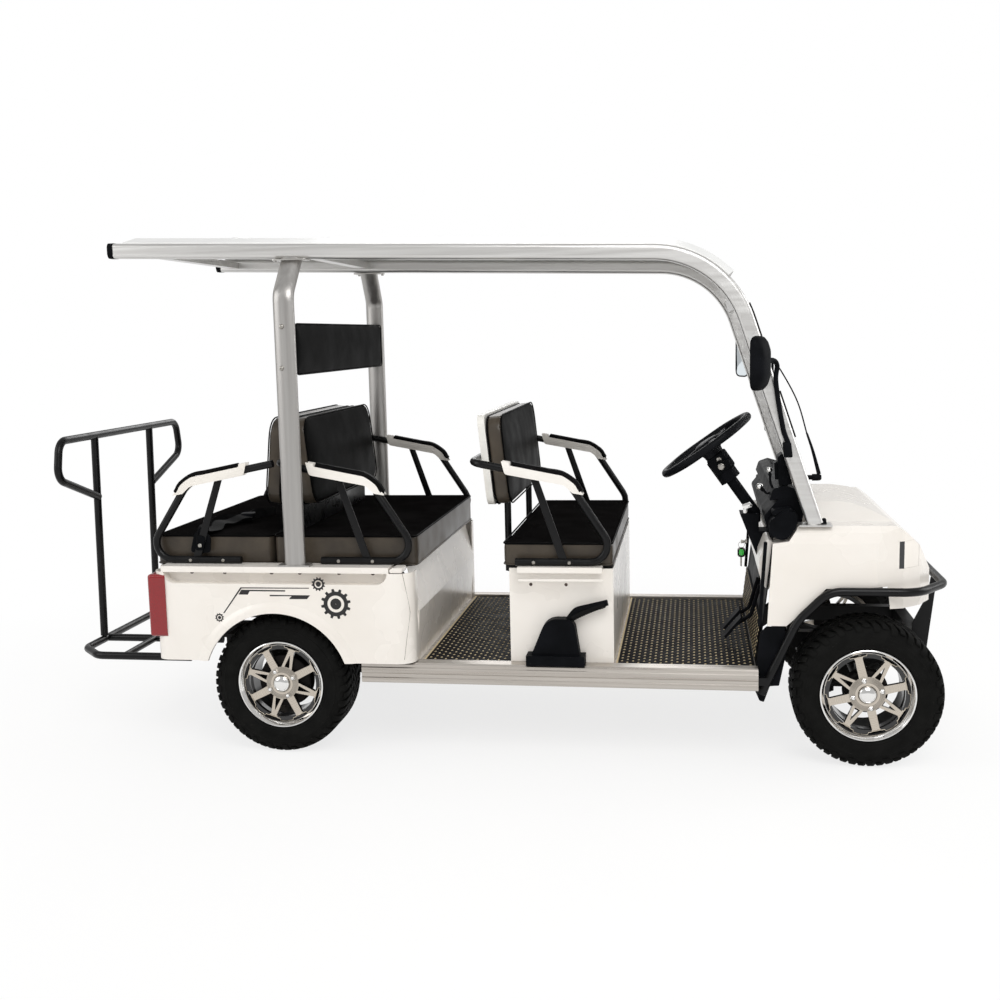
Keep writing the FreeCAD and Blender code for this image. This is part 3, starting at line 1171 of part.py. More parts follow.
knuckles = []
for side, sign in (("right", -1), ("left", 1)):
    y = s.kingpinY * sign
    barrel = rod("z", s.wheelBase, y, axleZ - halfKnuckle, s.knuckleRadius, s.knuckleHeight)
    reach = frontSeat - s.kingpinY
    seatY = frontSeat - s.bodyFit
    if sign > 0:
        spindle = rod("y", s.wheelBase, y, axleZ, 20, reach - 2)
        flangeDisc = rod("y", s.wheelBase, seatY - s.flangeThick, axleZ, s.hubFlange, s.flangeThick)
        spigot = rod("y", s.wheelBase, y, axleZ, s.boreRadius - s.spindleFit, reach + 40)
    else:
        spindle = rod("y", s.wheelBase, -(frontSeat - 2), axleZ, 20, reach - 2)
        flangeDisc = rod("y", s.wheelBase, -seatY, axleZ, s.hubFlange, s.flangeThick)
        spigot = rod("y", s.wheelBase, -frontSeat - 40, axleZ, s.boreRadius - s.spindleFit, reach + 40)
    armZ = axleZ - 20
    arm = box(s.wheelBase - s.armLength, s.wheelBase, y - 14, y + 14, armZ, armZ + s.armThick)
    stud = rod("z", s.wheelBase - s.armLength, y, armZ - 24, s.studRadius, 30)
    armEnd = rod("z", s.wheelBase - s.armLength, y, armZ, 14, s.armThick)
    pinHole = rod("z", s.wheelBase, y, axleZ - halfKnuckle - 1, s.kingpinRadius + 0.3,
                  s.knuckleHeight + 2)
    knuckles.append(node(cut(fuse(barrel, spindle, flangeDisc, spigot, arm, armEnd, stud), pinHole),
                         "knuckle_%s" % side))

rodY = s.kingpinY
rodZ = axleZ - 20 - s.bodyFit
rodX = s.wheelBase - s.armLength
eyes = []
holes = []
for y in (rodY, -rodY):
    eyes.append(rod("z", rodX, y, rodZ - 18, s.rodEye, 18))
    holes.append(rod("z", rodX, y, rodZ - 30, s.studRadius + s.studFit, 40))
link = rod("y", rodX, -rodY, rodZ - 9, s.rodRadius - 1, rodY * 2)
node(cut(fuse(link, *eyes), *holes), "tie_rod")

# Rear axle with its drive motor and leaf springs
axle = [rod("y", 0, -(rearSeat - s.bodyFit), axleZ, s.axleRadius, (rearSeat - s.bodyFit) * 2)]
for sign in (-1, 1):
    y0 = rearSeat - s.bodyFit - s.flangeThick if sign > 0 else -(rearSeat - s.bodyFit)
    axle.append(rod("y", 0, y0, axleZ, s.hubFlange, s.flangeThick))
    y0 = rearSeat - 20 if sign > 0 else -(rearSeat + 40)
    axle.append(rod("y", 0, y0, axleZ, s.boreRadius - s.spindleFit, 60))
axle.append(rod("y", 0, -30, axleZ, s.diffRadius, 90))
axle.append(rod("y", -s.motorBack, -30, axleZ, s.motorRadius, 90))
axle.append(box(-s.motorBack, 0, -30, 60, axleZ - s.motorRadius + 10, axleZ + s.motorRadius - 10))
for sign in (-1, 1):
    axle.append(leafSpring(length(0), s.springY * sign, s.springHalf, axleZ + s.axleRadius - 3))
node(fuse(*axle), "rear_axle")
node(rod("y", -s.motorBack, 60 + s.bodyFit, axleZ, s.motorRadius, s.motorLength - 60), "drive_motor")

# Grab frame and foot frame behind the rear seat
zTop = s.grabTop
footZ = s.railHighLevel - s.rackTube - s.bodyFit
footTop = footZ + s.rackTube + s.bodyFit * 2
footRear = s.rearEnd - s.rackTube
loopHalf = [(-s.grabX, -s.grabPostY, s.grabReturnZ), (-s.grabX, -s.grabSideY, s.grabLoopZ - 20),
            (-s.grabX, -s.grabSideY + 30, zTop)]
loopBends = [s.grabBend * 0.8] * 4
grabParts = [tube(loopHalf + [(x, -y, z) for x, y, z in reversed(loopHalf)], loopBends, s.rackTube)]
for sign in (-1, 1):
    grabParts.append(tube([(-s.grabX - s.grabLean, s.grabPostY * sign, footTop),
                           (-s.grabX, s.grabPostY * sign, zTop)], [], s.rackTube))
node(fuse(*grabParts), "grab_frame")
legX = 42 - s.railRear
footHalf = [(legX, -s.footY, footZ), (-s.footLegX, -s.footY, footZ), (-footRear, -s.footCornerY, footZ)]
footLoop = tube(footHalf + [(x, -y, z) for x, y, z in reversed(footHalf)], [60, 60, 60, 60], s.rackTube)
footParts = [footLoop, rod("y", -s.footBarX, -s.footY, footZ, s.rackTube - 2, s.footY * 2)]
for sign in (-1, 1):
    footParts.append(rod("x", -footRear, (s.railOuter - s.railWide / 2) * sign, footZ, s.rackTube,
                         footRear - s.railRear + 60))
node(fuse(*footParts), "foot_frame")

doc.recompute()

bad = [obj.Label for obj in doc.Objects if "Invalid" in obj.State or "Error" in obj.State]
if bad:
    raise RuntimeError("failed: %s" % ", ".join(bad))
os.makedirs("parts", exist_ok=True)
for obj in nodes:
    shape = obj.Shape
    if shape.isNull() or not shape.isValid() or shape.Volume < 1:
        raise RuntimeError("not a valid solid: %s" % obj.Label)
    shape.exportStep("parts/%s.step" % obj.Label)
    b = shape.optimalBoundingBox()
    print("%-24s %2d solids %10.0f mm3  x %7.1f %7.1f  y %7.1f %7.1f  z %7.1f %7.1f"
          % (obj.Label, len(shape.Solids), shape.Volume, b.XMin, b.XMax, b.YMin, b.YMax, b.ZMin, b.ZMax))
print(len(nodes), "pieces")
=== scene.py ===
import math
import bmesh
import bpy
from mathutils import Matrix, Vector
from mathutils.bvhtree import BVHTree


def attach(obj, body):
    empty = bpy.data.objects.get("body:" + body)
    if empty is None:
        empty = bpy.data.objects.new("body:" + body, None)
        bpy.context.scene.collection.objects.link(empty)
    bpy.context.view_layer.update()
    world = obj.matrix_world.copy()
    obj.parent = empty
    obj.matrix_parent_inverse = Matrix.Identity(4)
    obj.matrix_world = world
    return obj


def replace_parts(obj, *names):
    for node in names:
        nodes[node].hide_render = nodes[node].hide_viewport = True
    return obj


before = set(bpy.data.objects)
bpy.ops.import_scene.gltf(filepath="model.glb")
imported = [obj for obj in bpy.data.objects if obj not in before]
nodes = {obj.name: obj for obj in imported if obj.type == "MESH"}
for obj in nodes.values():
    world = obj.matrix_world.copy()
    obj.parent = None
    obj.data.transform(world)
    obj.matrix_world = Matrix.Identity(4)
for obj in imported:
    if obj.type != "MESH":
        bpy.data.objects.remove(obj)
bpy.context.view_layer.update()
scene = bpy.context.scene

# The pieces are drawn in mm, forward of the rear axle, to the left and up from the ground.
axleBehindMiddle = 755.5
wheelBase = 2121
wheelRadius = 260
wheelTurn = {"rear": 27, "front": 14}   # degrees that the spokes stand round from the axes
sides = {"right": -1, "left": 1}


def at(x, y, z):
    return Vector(((x - axleBehindMiddle) / 1000, y / 1000, z / 1000))


def linear(hexColour):
    parts = [int(hexColour[i:i + 2], 16) / 255 for i in (1, 3, 5)]
    return tuple(c / 12.92 if c <= 0.04045 else ((c + 0.055) / 1.055) ** 2.4 for c in parts) + (1.0,)


def addNode(tree, kind, inputs=None, **settings):
    node = tree.nodes.new("ShaderNode" + kind)
    for name, value in settings.items():
        setattr(node, name, value)
    for name, value in (inputs or {}).items():
        socket = node.inputs[name]
        if isinstance(value, bpy.types.NodeSocket):
            tree.links.new(value, socket)
        else:
            socket.default_value = value
    return node


# A finish starts as one colour and roughness; what varies over the surface is linked in afterwards.
def newFinish(name, colour, roughness, metallic=0.0, ior=1.5, coat=0.0, gloss=0.5):
    finish = bpy.data.materials.new(name)
    finish.use_nodes = True
    tree = finish.node_tree
    shader = tree.nodes["Principled BSDF"]
    shader.inputs["Base Color"].default_value = linear(colour)
    shader.inputs["Roughness"].default_value = roughness
    shader.inputs["Metallic"].default_value = metallic
    if metallic < 0.5:
        shader.inputs["IOR"].default_value = ior
        shader.inputs["Specular IOR Level"].default_value = gloss
    shader.inputs["Coat Weight"].default_value = coat
    shader.inputs["Coat Roughness"].default_value = 0.12
    return finish, tree, shader, addNode(tree, "TexCoord").outputs["Object"]


# Patterns of a size in mm: a soft cloud, and cells.
def noiseAt(tree, place, size, detail=2.0, stretch=(1, 1, 1)):
    scaled = addNode(tree, "Mapping", {"Vector": place, "Scale": stretch}).outputs["Vector"]
    return addNode(tree, "TexNoise", {"Vector": scaled, "Scale": 1000 / size, "Detail": detail}).outputs["Fac"]


def cellsAt(tree, place, size, feature="F1"):
    return addNode(tree, "TexVoronoi", {"Vector": place, "Scale": 1000 / size}, feature=feature).outputs["Distance"]


# Two colours that drift into each other over patches of the given size.
def tone(tree, shader, place, first, second, patch, stretch=(1, 1, 1), sharp=(0.35, 0.65), detail=4.0):
    cloud = noiseAt(tree, place, patch, detail, stretch)
    ramp = addNode(tree, "ValToRGB", {"Fac": cloud})
    for element, position, colour in zip(ramp.color_ramp.elements, sharp, (first, second)):
        element.position = position
        element.color = linear(colour)
    tree.links.new(ramp.outputs["Color"], shader.inputs["Base Color"])
    return cloud


def roughen(tree, shader, fac, low, high):
    span = addNode(tree, "MapRange", {"Value": fac, "From Min": 0.3, "From Max": 0.7, "To Min": low, "To Max": high})
    tree.links.new(span.outputs["Result"], shader.inputs["Roughness"])


# Height of a surface pattern in mm, over what is there already.
def emboss(tree, shader, height, depth):
    bump = addNode(tree, "Bump", {"Height": height, "Distance": depth / 1000, "Strength": 1.0})
    held = shader.inputs["Normal"].links
    if held:
        tree.links.new(held[0].from_socket, bump.inputs["Normal"])
    tree.links.new(bump.outputs["Normal"], shader.inputs["Normal"])


def blendColours(tree, share, first, second):
    return addNode(tree, "Mix", {"Factor": share, "A": first, "B": second}, data_type="RGBA").outputs[2]


# Most finishes start as two drifting tones, with a roughness that goes less and more with them.
def drifting(name, light, shade, roughness, patch, less, more, detail=4.0, stretch=(1, 1, 1),
             sharp=(0.35, 0.65), **surface):
    finish, tree, shader, place = newFinish(name, light, roughness, **surface)
    cloud = tone(tree, shader, place, shade, light, patch, stretch, sharp, detail)
    roughen(tree, shader, cloud, max(roughness - less, 0.05), roughness + more)
    return finish, tree, shader, place


# Vacuum-formed ABS body panels, white with a faint warm cast: even gloss, slight orange peel.
def whiteAbs(name, light, shade, roughness):
    finish, tree, shader, place = drifting(name, light, shade, roughness, 260, 0.05, 0.07, 3.0, ior=1.53,
                                           coat=0.25)
    emboss(tree, shader, noiseAt(tree, place, 9), 0.02)   # orange peel of 3 mm, drawn 9 mm wide to show
    return finish


# Aluminium extrusion, satin anodised: fine die lines along its length.
def anodised(name, light, shade, roughness, along):
    stretch = [0.02 if axis == along else 1 for axis in "xyz"]
    finish, tree, shader, place = drifting(name, light, shade, roughness, 14, 0.06, 0.08, 4.0, stretch,
                                           (0.25, 0.75), metallic=0.85)
    dieLines = noiseAt(tree, place, 3, stretch=stretch)   # of 0.2 mm, drawn 3 mm apart to show
    emboss(tree, shader, dieLines, 0.03)
    return finish


# Steel tube, powder coated: satin black with a fine orange peel that breaks up the highlights.
def powderCoat(name, light, shade, roughness, peel=4.0):
    finish, tree, shader, place = drifting(name, light, shade, roughness, 60, 0.06, 0.1, coat=0.06, gloss=0.2)
    emboss(tree, shader, noiseAt(tree, place, peel), 0.06)
    return finish


# Injection-moulded polypropylene: spark-eroded grain, dull.
def grainedPlastic(name, light, shade, roughness, grain=2.4):
    finish, tree, shader, place = drifting(name, light, shade, roughness, 90, 0.08, 0.06, ior=1.49, gloss=0.03)
    emboss(tree, shader, cellsAt(tree, place, grain), 0.10)   # grain of 1 mm, drawn coarser so that it shows
    return finish


# PVC-coated upholstery fabric: leather print, dull, with what sheen its cover still has.
def vinyl(name, light, shade, roughness, sheen, gloss):
    finish, tree, shader, place = drifting(name, light, shade, roughness, 130, 0.08, 0.08, 6.0, gloss=gloss)
    emboss(tree, shader, cellsAt(tree, place, 4.0, "SMOOTH_F1"), 0.22)   # print of 1.5 mm, drawn 4 mm wide
    emboss(tree, shader, noiseAt(tree, place, 60, 2.0), 0.2)   # slack in the cover
    shader.inputs["Sheen Weight"].default_value = sheen
    shader.inputs["Sheen Roughness"].default_value = 0.4
    return finish


# Filled rubber, moulded: matt, with dust in the low places.
def rubber(name, light, shade, roughness):
    finish, tree, shader, place = drifting(name, light, shade, roughness, 50, 0.1, 0.08, 8.0, ior=1.52,
                                           gloss=0.06)
    emboss(tree, shader, noiseAt(tree, place, 5, 5.0), 0.12)
    return finish


# Chrome on steel or cast alloy: mirror bright, a little uneven.
def chrome(name, colour="#e9e8e6", roughness=0.09):
    finish, tree, shader, place = newFinish(name, colour, roughness, metallic=1.0)
    roughen(tree, shader, noiseAt(tree, place, 40, 3.0), roughness - 0.04, roughness + 0.06)
    return finish


# Thermoplastic lens: dyed acrylic, polished, with flutes behind it.
def acrylic(name, colour, transmission, roughness=0.08):
    finish, tree, shader, place = newFinish(name, colour, roughness, ior=1.49, coat=0.4)
    shader.inputs["Transmission Weight"].default_value = transmission
    flutes = addNode(tree, "TexWave", {"Vector": place, "Scale": 1000 / 42.0}, bands_direction="Z")
    emboss(tree, shader, flutes.outputs["Fac"], 0.25)
    roughen(tree, shader, noiseAt(tree, place, 30), roughness - 0.02, roughness + 0.05)
    return finish


# Plain flat finish with a trace of unevenness, for inks, threads and small parts.
def plainFinish(name, light, shade, roughness, metallic=0.0, patch=20):
    return drifting(name, light, shade, roughness, patch, 0.08, 0.08, metallic=metallic)[0]


# Cast alloy wheel: turned and clear-coated on its face, gloss black paint on the sides of the spokes.
def machinedWheel(name, centreX, turn):
    finish, tree, shader, place = newFinish(name, "#c9bfb2", 0.26, metallic=1.0)

    def calc(operation, first, second=0.0):
        return addNode(tree, "Math", {0: first, 1: second}, operation=operation).outputs["Value"]

    def vector(operation, first, second=(0, 0, 0)):
        return addNode(tree, "VectorMath", {0: first, 1: second}, operation=operation).outputs

    def span(value, low, high):
        return addNode(tree, "MapRange", {"Value": value, "From Min": low, "From Max": high}).outputs["Result"]
    facing = addNode(tree, "SeparateXYZ", {"Vector": addNode(tree, "TexCoord").outputs["Normal"]}).outputs["Y"]
    face = span(calc("ABSOLUTE", facing), 0.86, 0.97)
    centre = vector("SUBTRACT", place, (centreX, 0.0, wheelRadius / 1000))["Vector"]
    radial = vector("MULTIPLY", centre, (1.0, 0.0, 1.0))["Vector"]
    radius = vector("LENGTH", radial)["Value"]
    split = addNode(tree, "SeparateXYZ", {"Vector": radial}).outputs
    around = calc("SUBTRACT", calc("ARCTAN2", split["Z"], split["X"]), turn)
    # The bright face ends at this reach, further out near one of the eight spokes, and the paint begins.
    spoke = calc("GREATER_THAN", calc("COSINE", calc("MULTIPLY", around, 8.0)), 0.62)
    reach = calc("ADD", calc("MULTIPLY", spoke, 0.0075), 0.1275)
    barrel = span(radius, 0.1475, 0.1485)
    bright = calc("MAXIMUM", calc("MULTIPLY", face, calc("LESS_THAN", radius, reach)), barrel)
    turning = addNode(tree, "TexNoise", {"W": radius, "Scale": 1000 / 1.6, "Detail": 2.0}, noise_dimensions="1D")
    rings = turning.outputs["Fac"]   # marks of the lathe
    silver = blendColours(tree, rings, linear("#a99f92"), linear("#ded5c8"))
    mix = blendColours(tree, bright, linear("#0b0b0c"), silver)
    dull = addNode(tree, "MapRange", {"Value": rings, "To Min": 0.2, "To Max": 0.36})
    tree.links.new(mix, shader.inputs["Base Color"])
    tree.links.new(bright, shader.inputs["Metallic"])
    tree.links.new(dull.outputs["Result"], shader.inputs["Roughness"])
    shader.inputs["Coat Weight"].default_value = 0.5
    shader.inputs["Coat Roughness"].default_value = 0.08
    emboss(tree, shader, rings, 0.02)
    return finish


# Quilted mat: foam-backed PVC sheet, pressed over its foam. The thread is a piece of its own.
def quiltedSheet(name):
    finish, tree, shader, place = newFinish(name, "#100f11", 0.5, gloss=0.03)
    cloud = tone(tree, shader, place, "#0a0a0b", "#161517", 70, detail=6.0)
    roughen(tree, shader, cloud, 0.42, 0.6)
    emboss(tree, shader, cellsAt(tree, place, 3.5, "SMOOTH_F1"), 0.25)
    return finish


# Windscreen: clear polycarbonate sheet, polished, and seen through.
def clearSheet(name):
    finish, tree, shader, place = newFinish(name, "#f6f8f8", 0.03, ior=1.49)
    shader.inputs["Transmission Weight"].default_value = 1.0
    shader.inputs["Alpha"].default_value = 0.28
    roughen(tree, shader, noiseAt(tree, place, 300), 0.02, 0.06)
    return finish


# Headlamp cover: smoked polycarbonate on its front face, and painted as the body round its side, but for
# one slit.
def lampLens(name):
    finish, tree, shader, place = newFinish(name, "#17191c", 0.14, ior=1.58, coat=0.3)
    across = addNode(tree, "SeparateXYZ", {"Vector": place}).outputs["X"]
    facing = addNode(tree, "SeparateXYZ", {"Vector": addNode(tree, "TexCoord").outputs["Normal"]}).outputs["X"]
    aside = addNode(tree, "Math", {0: facing, 1: 0.8}, operation="LESS_THAN").outputs["Value"]
    slit = addNode(tree, "Math", {0: across, 1: at(2233, 0, 0).x, 2: 0.009}, operation="COMPARE").outputs["Value"]
    painted = addNode(tree, "Math", {0: aside, 1: slit}, operation="SUBTRACT", use_clamp=True).outputs["Value"]
    smoke = tone(tree, shader, place, "#101113", "#1d1f22", 30)
    mix = blendColours(tree, painted, linear("#17191c"), linear("#eee8e0"))
    tree.links.new(mix, shader.inputs["Base Color"])
    roughen(tree, shader, smoke, 0.12, 0.2)
    return finish


# Polyester webbing, woven across its width.
def webbing(name, light, shade):
    finish, tree, shader, place = newFinish(name, light, 0.7, ior=1.45, gloss=0.05)
    tone(tree, shader, place, shade, light, 30)
    weave = addNode(tree, "TexWave", {"Vector": place, "Scale": 1000 / 12.0, "Distortion": 0.6},
                    bands_direction="DIAGONAL")
    emboss(tree, shader, weave.outputs["Fac"], 0.4)   # threads of 1 mm, drawn 3 mm apart
    shader.inputs["Sheen Weight"].default_value = 0.05
    return finish


print("finishes")
finishes = {
    "body": whiteAbs("vacuumFormedAbs", "#efeae3", "#eae4dc", 0.26),
    "roof": whiteAbs("rotomouldedRoof", "#f4f4f2", "#ededeb", 0.36),
    "shell": whiteAbs("backrestShellAbs", "#e9e7e1", "#e2dfd8", 0.3),
    "plate": whiteAbs("armPlateAbs", "#f0ece6", "#e9e4dc", 0.32),
    "rail": anodised("anodisedRail", "#dcdbd9", "#c8c6c3", 0.34, "x"),
    "pillar": anodised("anodisedPillar", "#b5b3b0", "#a3a09d", 0.36, "z"),
    "sill": anodised("extrudedSill", "#cbc5be", "#aaa39b", 0.3, "x"),
    "angle": anodised("foldedAngle", "#c4c2be", "#aba8a4", 0.3, "x"),
    "tube": powderCoat("powderCoatedTube", "#0f0f10", "#080809", 0.3),
    "dark": powderCoat("chassisBlack", "#121212", "#0a0a0a", 0.5, 7.0),
    "plastic": grainedPlastic("mouldedPolypropylene", "#131417", "#0c0d0f", 0.5),
    "softPlastic": grainedPlastic("armPadFoam", "#121112", "#0b0b0b", 0.5, 3.2),
    "top": vinyl("grainedVinylBlack", "#161515", "#0f0e0e", 0.62, 0.0, 0.0),
    "band": vinyl("grainedVinylBrown", "#4b4339", "#37312a", 0.36, 0.02, 0.3),
    "back": vinyl("grainedVinylBack", "#0b0b0b", "#070707", 0.4, 0.0, 0.01),
    "tyre": rubber("tyreRubber", "#161615", "#0e0e0d", 0.7),
    "grip": rubber("polyurethaneGrip", "#141518", "#0c0d0f", 0.45),
    "seal": rubber("sealRubber", "#161616", "#0e0e0e", 0.6),
    "chrome": chrome("chromePlate"),
    "wheelLine": plainFinish("machinedEdge", "#cfc6b8", "#b3a999", 0.24, metallic=1.0),
    "castIron": rubber("castIron", "#262322", "#191716", 0.6),
    "seam": plainFinish("seamShadow", "#8d857b", "#776f66", 0.6),
    "screw": plainFinish("zincPlate", "#b9b6b0", "#97938c", 0.3, metallic=1.0),
    "redLens": acrylic("redAcrylic", "#8c0a12", 0.12),
    "smokeLens": lampLens("smokedPolycarbonate"),
    "clear": clearSheet("clearPolycarbonateSheet"),
    "mat": quiltedSheet("quiltedMat"),
    "thread": plainFinish("beigeThread", "#e3d2ae", "#c9b48c", 0.7, patch=6),
    "ink": plainFinish("blackVinylFilm", "#1d1b1c", "#151314", 0.4, patch=40),
    "webbing": webbing("wovenWebbing", "#141415", "#0a0a0b"),
    # The bolts under the lips are dark brown: painted shade of the lip over them.
    "dustBolt": plainFinish("plugInLipShade", "#4a3b34", "#33261f", 0.55, patch=15),
    "fob": acrylic("dyedFob", "#2fbf3c", 0.2, 0.2),
    "mirror": chrome("silveredGlass", "#dfe6ea", 0.04),
}
for end, turn in wheelTurn.items():
    centre = at(wheelBase if end == "front" else 0, 0, 0).x
    finishes["wheel " + end] = machinedWheel("machinedWheel" + end.title(), centre, math.radians(turn))


def pair(*names):
    return ["%s_%s" % (name, side) for name in names for side in sides]


dressedNodes = {
    "body": [*pair("rear_side_panel"), "rear_end_panel", "riser_panel", "seat_deck", "bench_base", "cowl"],
    "roof": ["roof_panel"],
    "shell": ["front_backrest_shell"],
    "rail": [*pair("roof_rail"), "roof_bars"],
    "pillar": pair("rear_pillar"),
    "sill": [*pair("sill"), "floor_pan"],
    "tube": ["front_armrests", "middle_armrests", "rear_armrests", "bumper", "grab_frame", "foot_frame"],
    "dark": ["chassis_frame", "front_axle", "rear_axle", "drive_motor", *pair("knuckle"), "tie_rod",
             "battery_pack", "front_seat_board"],
    "plastic": ["front_wall", "dash", "steering_column", "steering_wheel", "pedals", "wiper", "mirrors",
                "handbrake"],
    "redLens": ["tail_lamps"],
    "smokeLens": ["headlamps"],
    "clear": ["windscreen"],
    "mat": ["floor_mat"],
    "tyre": pair("tyre_rear", "tyre_front"),
    "wheel rear": pair("rim_rear"),
    "wheel front": pair("rim_front"),
    "top": ["front_cushion", "middle_cushion", "rear_cushion"],
    "back": ["front_backrest", "middle_backrest", "rear_backrest", "head_pad"],
    "softPlastic": ["arm_pads"],
}
for finish, names in dressedNodes.items():
    for name in names:
        for slot in nodes[name].material_slots:
            slot.material = finishes[finish]


# Turns a drawn shape into a piece in its finishes, riding on its body.
def buildPiece(name, shape, dressing, body="chassis", sharp=32):
    mesh = bpy.data.meshes.new(name)
    bmesh.ops.recalc_face_normals(shape, faces=shape.faces)
    shape.to_mesh(mesh)
    shape.free()
    for finish in [dressing] if isinstance(dressing, str) else dressing:
        mesh.materials.append(finishes[finish])
    mesh.shade_smooth()
    mesh.set_sharp_from_angle(angle=math.radians(sharp))
    piece = bpy.data.objects.new(name, mesh)
    scene.collection.objects.link(piece)
    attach(piece, body)
    return piece


def spot(along, a, b, depth):
    return at(a, depth, b) if along == "y" else at(depth, a, b) if along == "x" else at(a, b, depth)


def rectangle(left, right, low, high):
    return [(left, low), (right, low), (right, high), (left, high)]


def circle(radius, steps=10):
    angles = [math.tau * k / steps for k in range(steps)]
    return [(radius * math.cos(a), radius * math.sin(a)) for a in angles]


# Corners of a flat outline, each turned into an arc of the radius that stands third in it or is given for
# all.
def roundOff(outline, radius=0, steps=4):
    turned = []
    for i, corner in enumerate(outline):
        reach = corner[2] if len(corner) > 2 else radius
        here = Vector(corner[:2])
        back = Vector(outline[i - 1][:2]) - here
        ahead = Vector(outline[(i + 1) % len(outline)][:2]) - here
        if reach <= 0 or back.length < 1e-6 or ahead.length < 1e-6:
            turned.append(tuple(here))
            continue
        half = back.angle(ahead) / 2
        trim = min(reach / math.tan(half), back.length * 0.49, ahead.length * 0.49)
        first, last = here + back.normalized() * trim, here + ahead.normalized() * trim
        for k in range(steps + 1):
            t = k / steps
            turned.append(tuple(first * (1 - t) ** 2 + here * (2 * t * (1 - t)) + last * t ** 2))
    return turned


# The wall between two closed rings of corners, or between two open rows.
def bridge(shape, low, high, slot=0, closed=True):
    count = len(low)
    for k in range(count if closed else count - 1):
        m = (k + 1) % count
        shape.faces.new((low[k], low[m], high[m], high[k])).material_index = slot


# A flat outline drawn out between two depths, with all its edges rounded.
def addPrism(shape, outline, low, high, along="y", bevel=0.0, slot=0, segments=2):
    lower = [shape.verts.new(spot(along, p[0], p[1], low)) for p in outline]
    upper = [shape.verts.new(spot(along, p[0], p[1], high)) for p in outline]
    caps = [shape.faces.new(lower), shape.faces.new(upper[::-1])]
    for face in caps:
        face.material_index = slot
    bridge(shape, upper, lower, slot)
    if bevel:
        edges = list({edge for face in caps for edge in face.edges})
        bmesh.ops.bevel(shape, geom=edges, offset=bevel / 1000, segments=segments, profile=0.5,
                        affect="EDGES", clamp_overlap=True)


# A profile of (radius, depth) turned round an axis through the centre.
def addTurned(shape, profile, centre, along="y", steps=48, slot=0, sign=1):
    first, second, third = {"x": (1, 2, 0), "y": (0, 2, 1), "z": (0, 1, 2)}[along]
    rings = []
    for k in range(steps):
        angle = math.tau * k / steps
        cosine, sine = math.cos(angle), math.sin(angle)
        rings.append([shape.verts.new(spot(along, centre[first] + radius * cosine, centre[second] + radius * sine,
                                           centre[third] + sign * depth)) for radius, depth in profile])
    for here, following in zip(rings, rings[1:] + rings[:1]):
        for i in range(len(profile) - 1):
            shape.faces.new((here[i], here[i + 1], following[i + 1], following[i])).material_index = slot
    bmesh.ops.remove_doubles(shape, verts=[v for ring in rings for v in ring], dist=1e-6)


# Points along a line through those given, rounded at its bends.
def smoothLine(points, step=12.0, closed=False):
    marks = [Vector(p) for p in points]
    count = len(marks)
    line = []
    for i in range(count if closed else count - 1):
        p1, p2 = marks[i], marks[(i + 1) % count]
        p0 = marks[i - 1] if closed or i else p1 * 2 - p2
        p3 = marks[(i + 2) % count] if closed or i + 2 < count else p2 * 2 - p1
        parts = max(1, round((p2 - p1).length / step))
        for k in range(parts):
            t = k / parts
            line.append(0.5 * (2 * p1 + (p2 - p0) * t + (2 * p0 - 5 * p1 + 4 * p2 - p3) * t * t
                               + (3 * p1 - p0 - 3 * p2 + p3) * t ** 3))
    return line if closed else line + [marks[-1]]


# A section of (across, out) drawn along a line of points in mm; out starts near the given direction.
def addDrawn(shape, line, section, out=(0, 0, 1), closed=False, slot=0, taper=None):
    line = [Vector(p) for p in line]
    count = len(line)
    normal = Vector(out)
    rings = []
    for i, here in enumerate(line):
        before = line[i - 1] if closed or i else here
        after = line[(i + 1) % count] if closed or i < count - 1 else here
        tangent = (after - before).normalized()
        normal = (normal - tangent * normal.dot(tangent)).normalized()
        across = tangent.cross(normal)
        scale = taper(i / max(1, count - 1)) if taper else 1.0
        rings.append([shape.verts.new(at(*(here + across * (a * scale) + normal * (b * scale))))
                      for a, b in section])
    for i in range(count if closed else count - 1):
        bridge(shape, rings[i], rings[(i + 1) % count], slot)
    if not closed:
        shape.faces.new(rings[0][::-1]).material_index = slot
        shape.faces.new(rings[-1]).material_index = slot


def addTube(shape, points, radius, step=8.0, steps=10, closed=False, slot=0, smooth=True):
    line = smoothLine(points, step, closed) if smooth else [Vector(p) for p in points]
    first = (line[1] - line[0]).normalized()
    out = Vector((0, 0, 1)) if abs(first.z) < 0.8 else Vector((1, 0, 0))
    addDrawn(shape, line, circle(radius, steps), out, closed, slot)


# Domed screw head with a socket, seen on every bracket.
def addScrew(shape, centre, sign=-1, radius=6.0, high=3.4):
    socket = high - 1.6
    profile = [(0, socket), (radius * 0.42, socket), (radius * 0.46, high), (radius * 0.72, high * 0.86),
               (radius, high * 0.25), (radius, -1.0)]
    addTurned(shape, profile, centre, "y", 16, 0, sign)


# Where a ray along a direction first meets the skin of a CAD node, in mm.
def skinOf(name):
    shape = bmesh.new()
    shape.from_mesh(nodes[name].data)
    tree = BVHTree.FromBMesh(shape)
    shape.free()

    def meet(start, way):
        hit = tree.ray_cast(at(*start), Vector(way))[0]
        return None if hit is None else (hit.x * 1000 + axleBehindMiddle, hit.y * 1000, hit.z * 1000)
    return meet


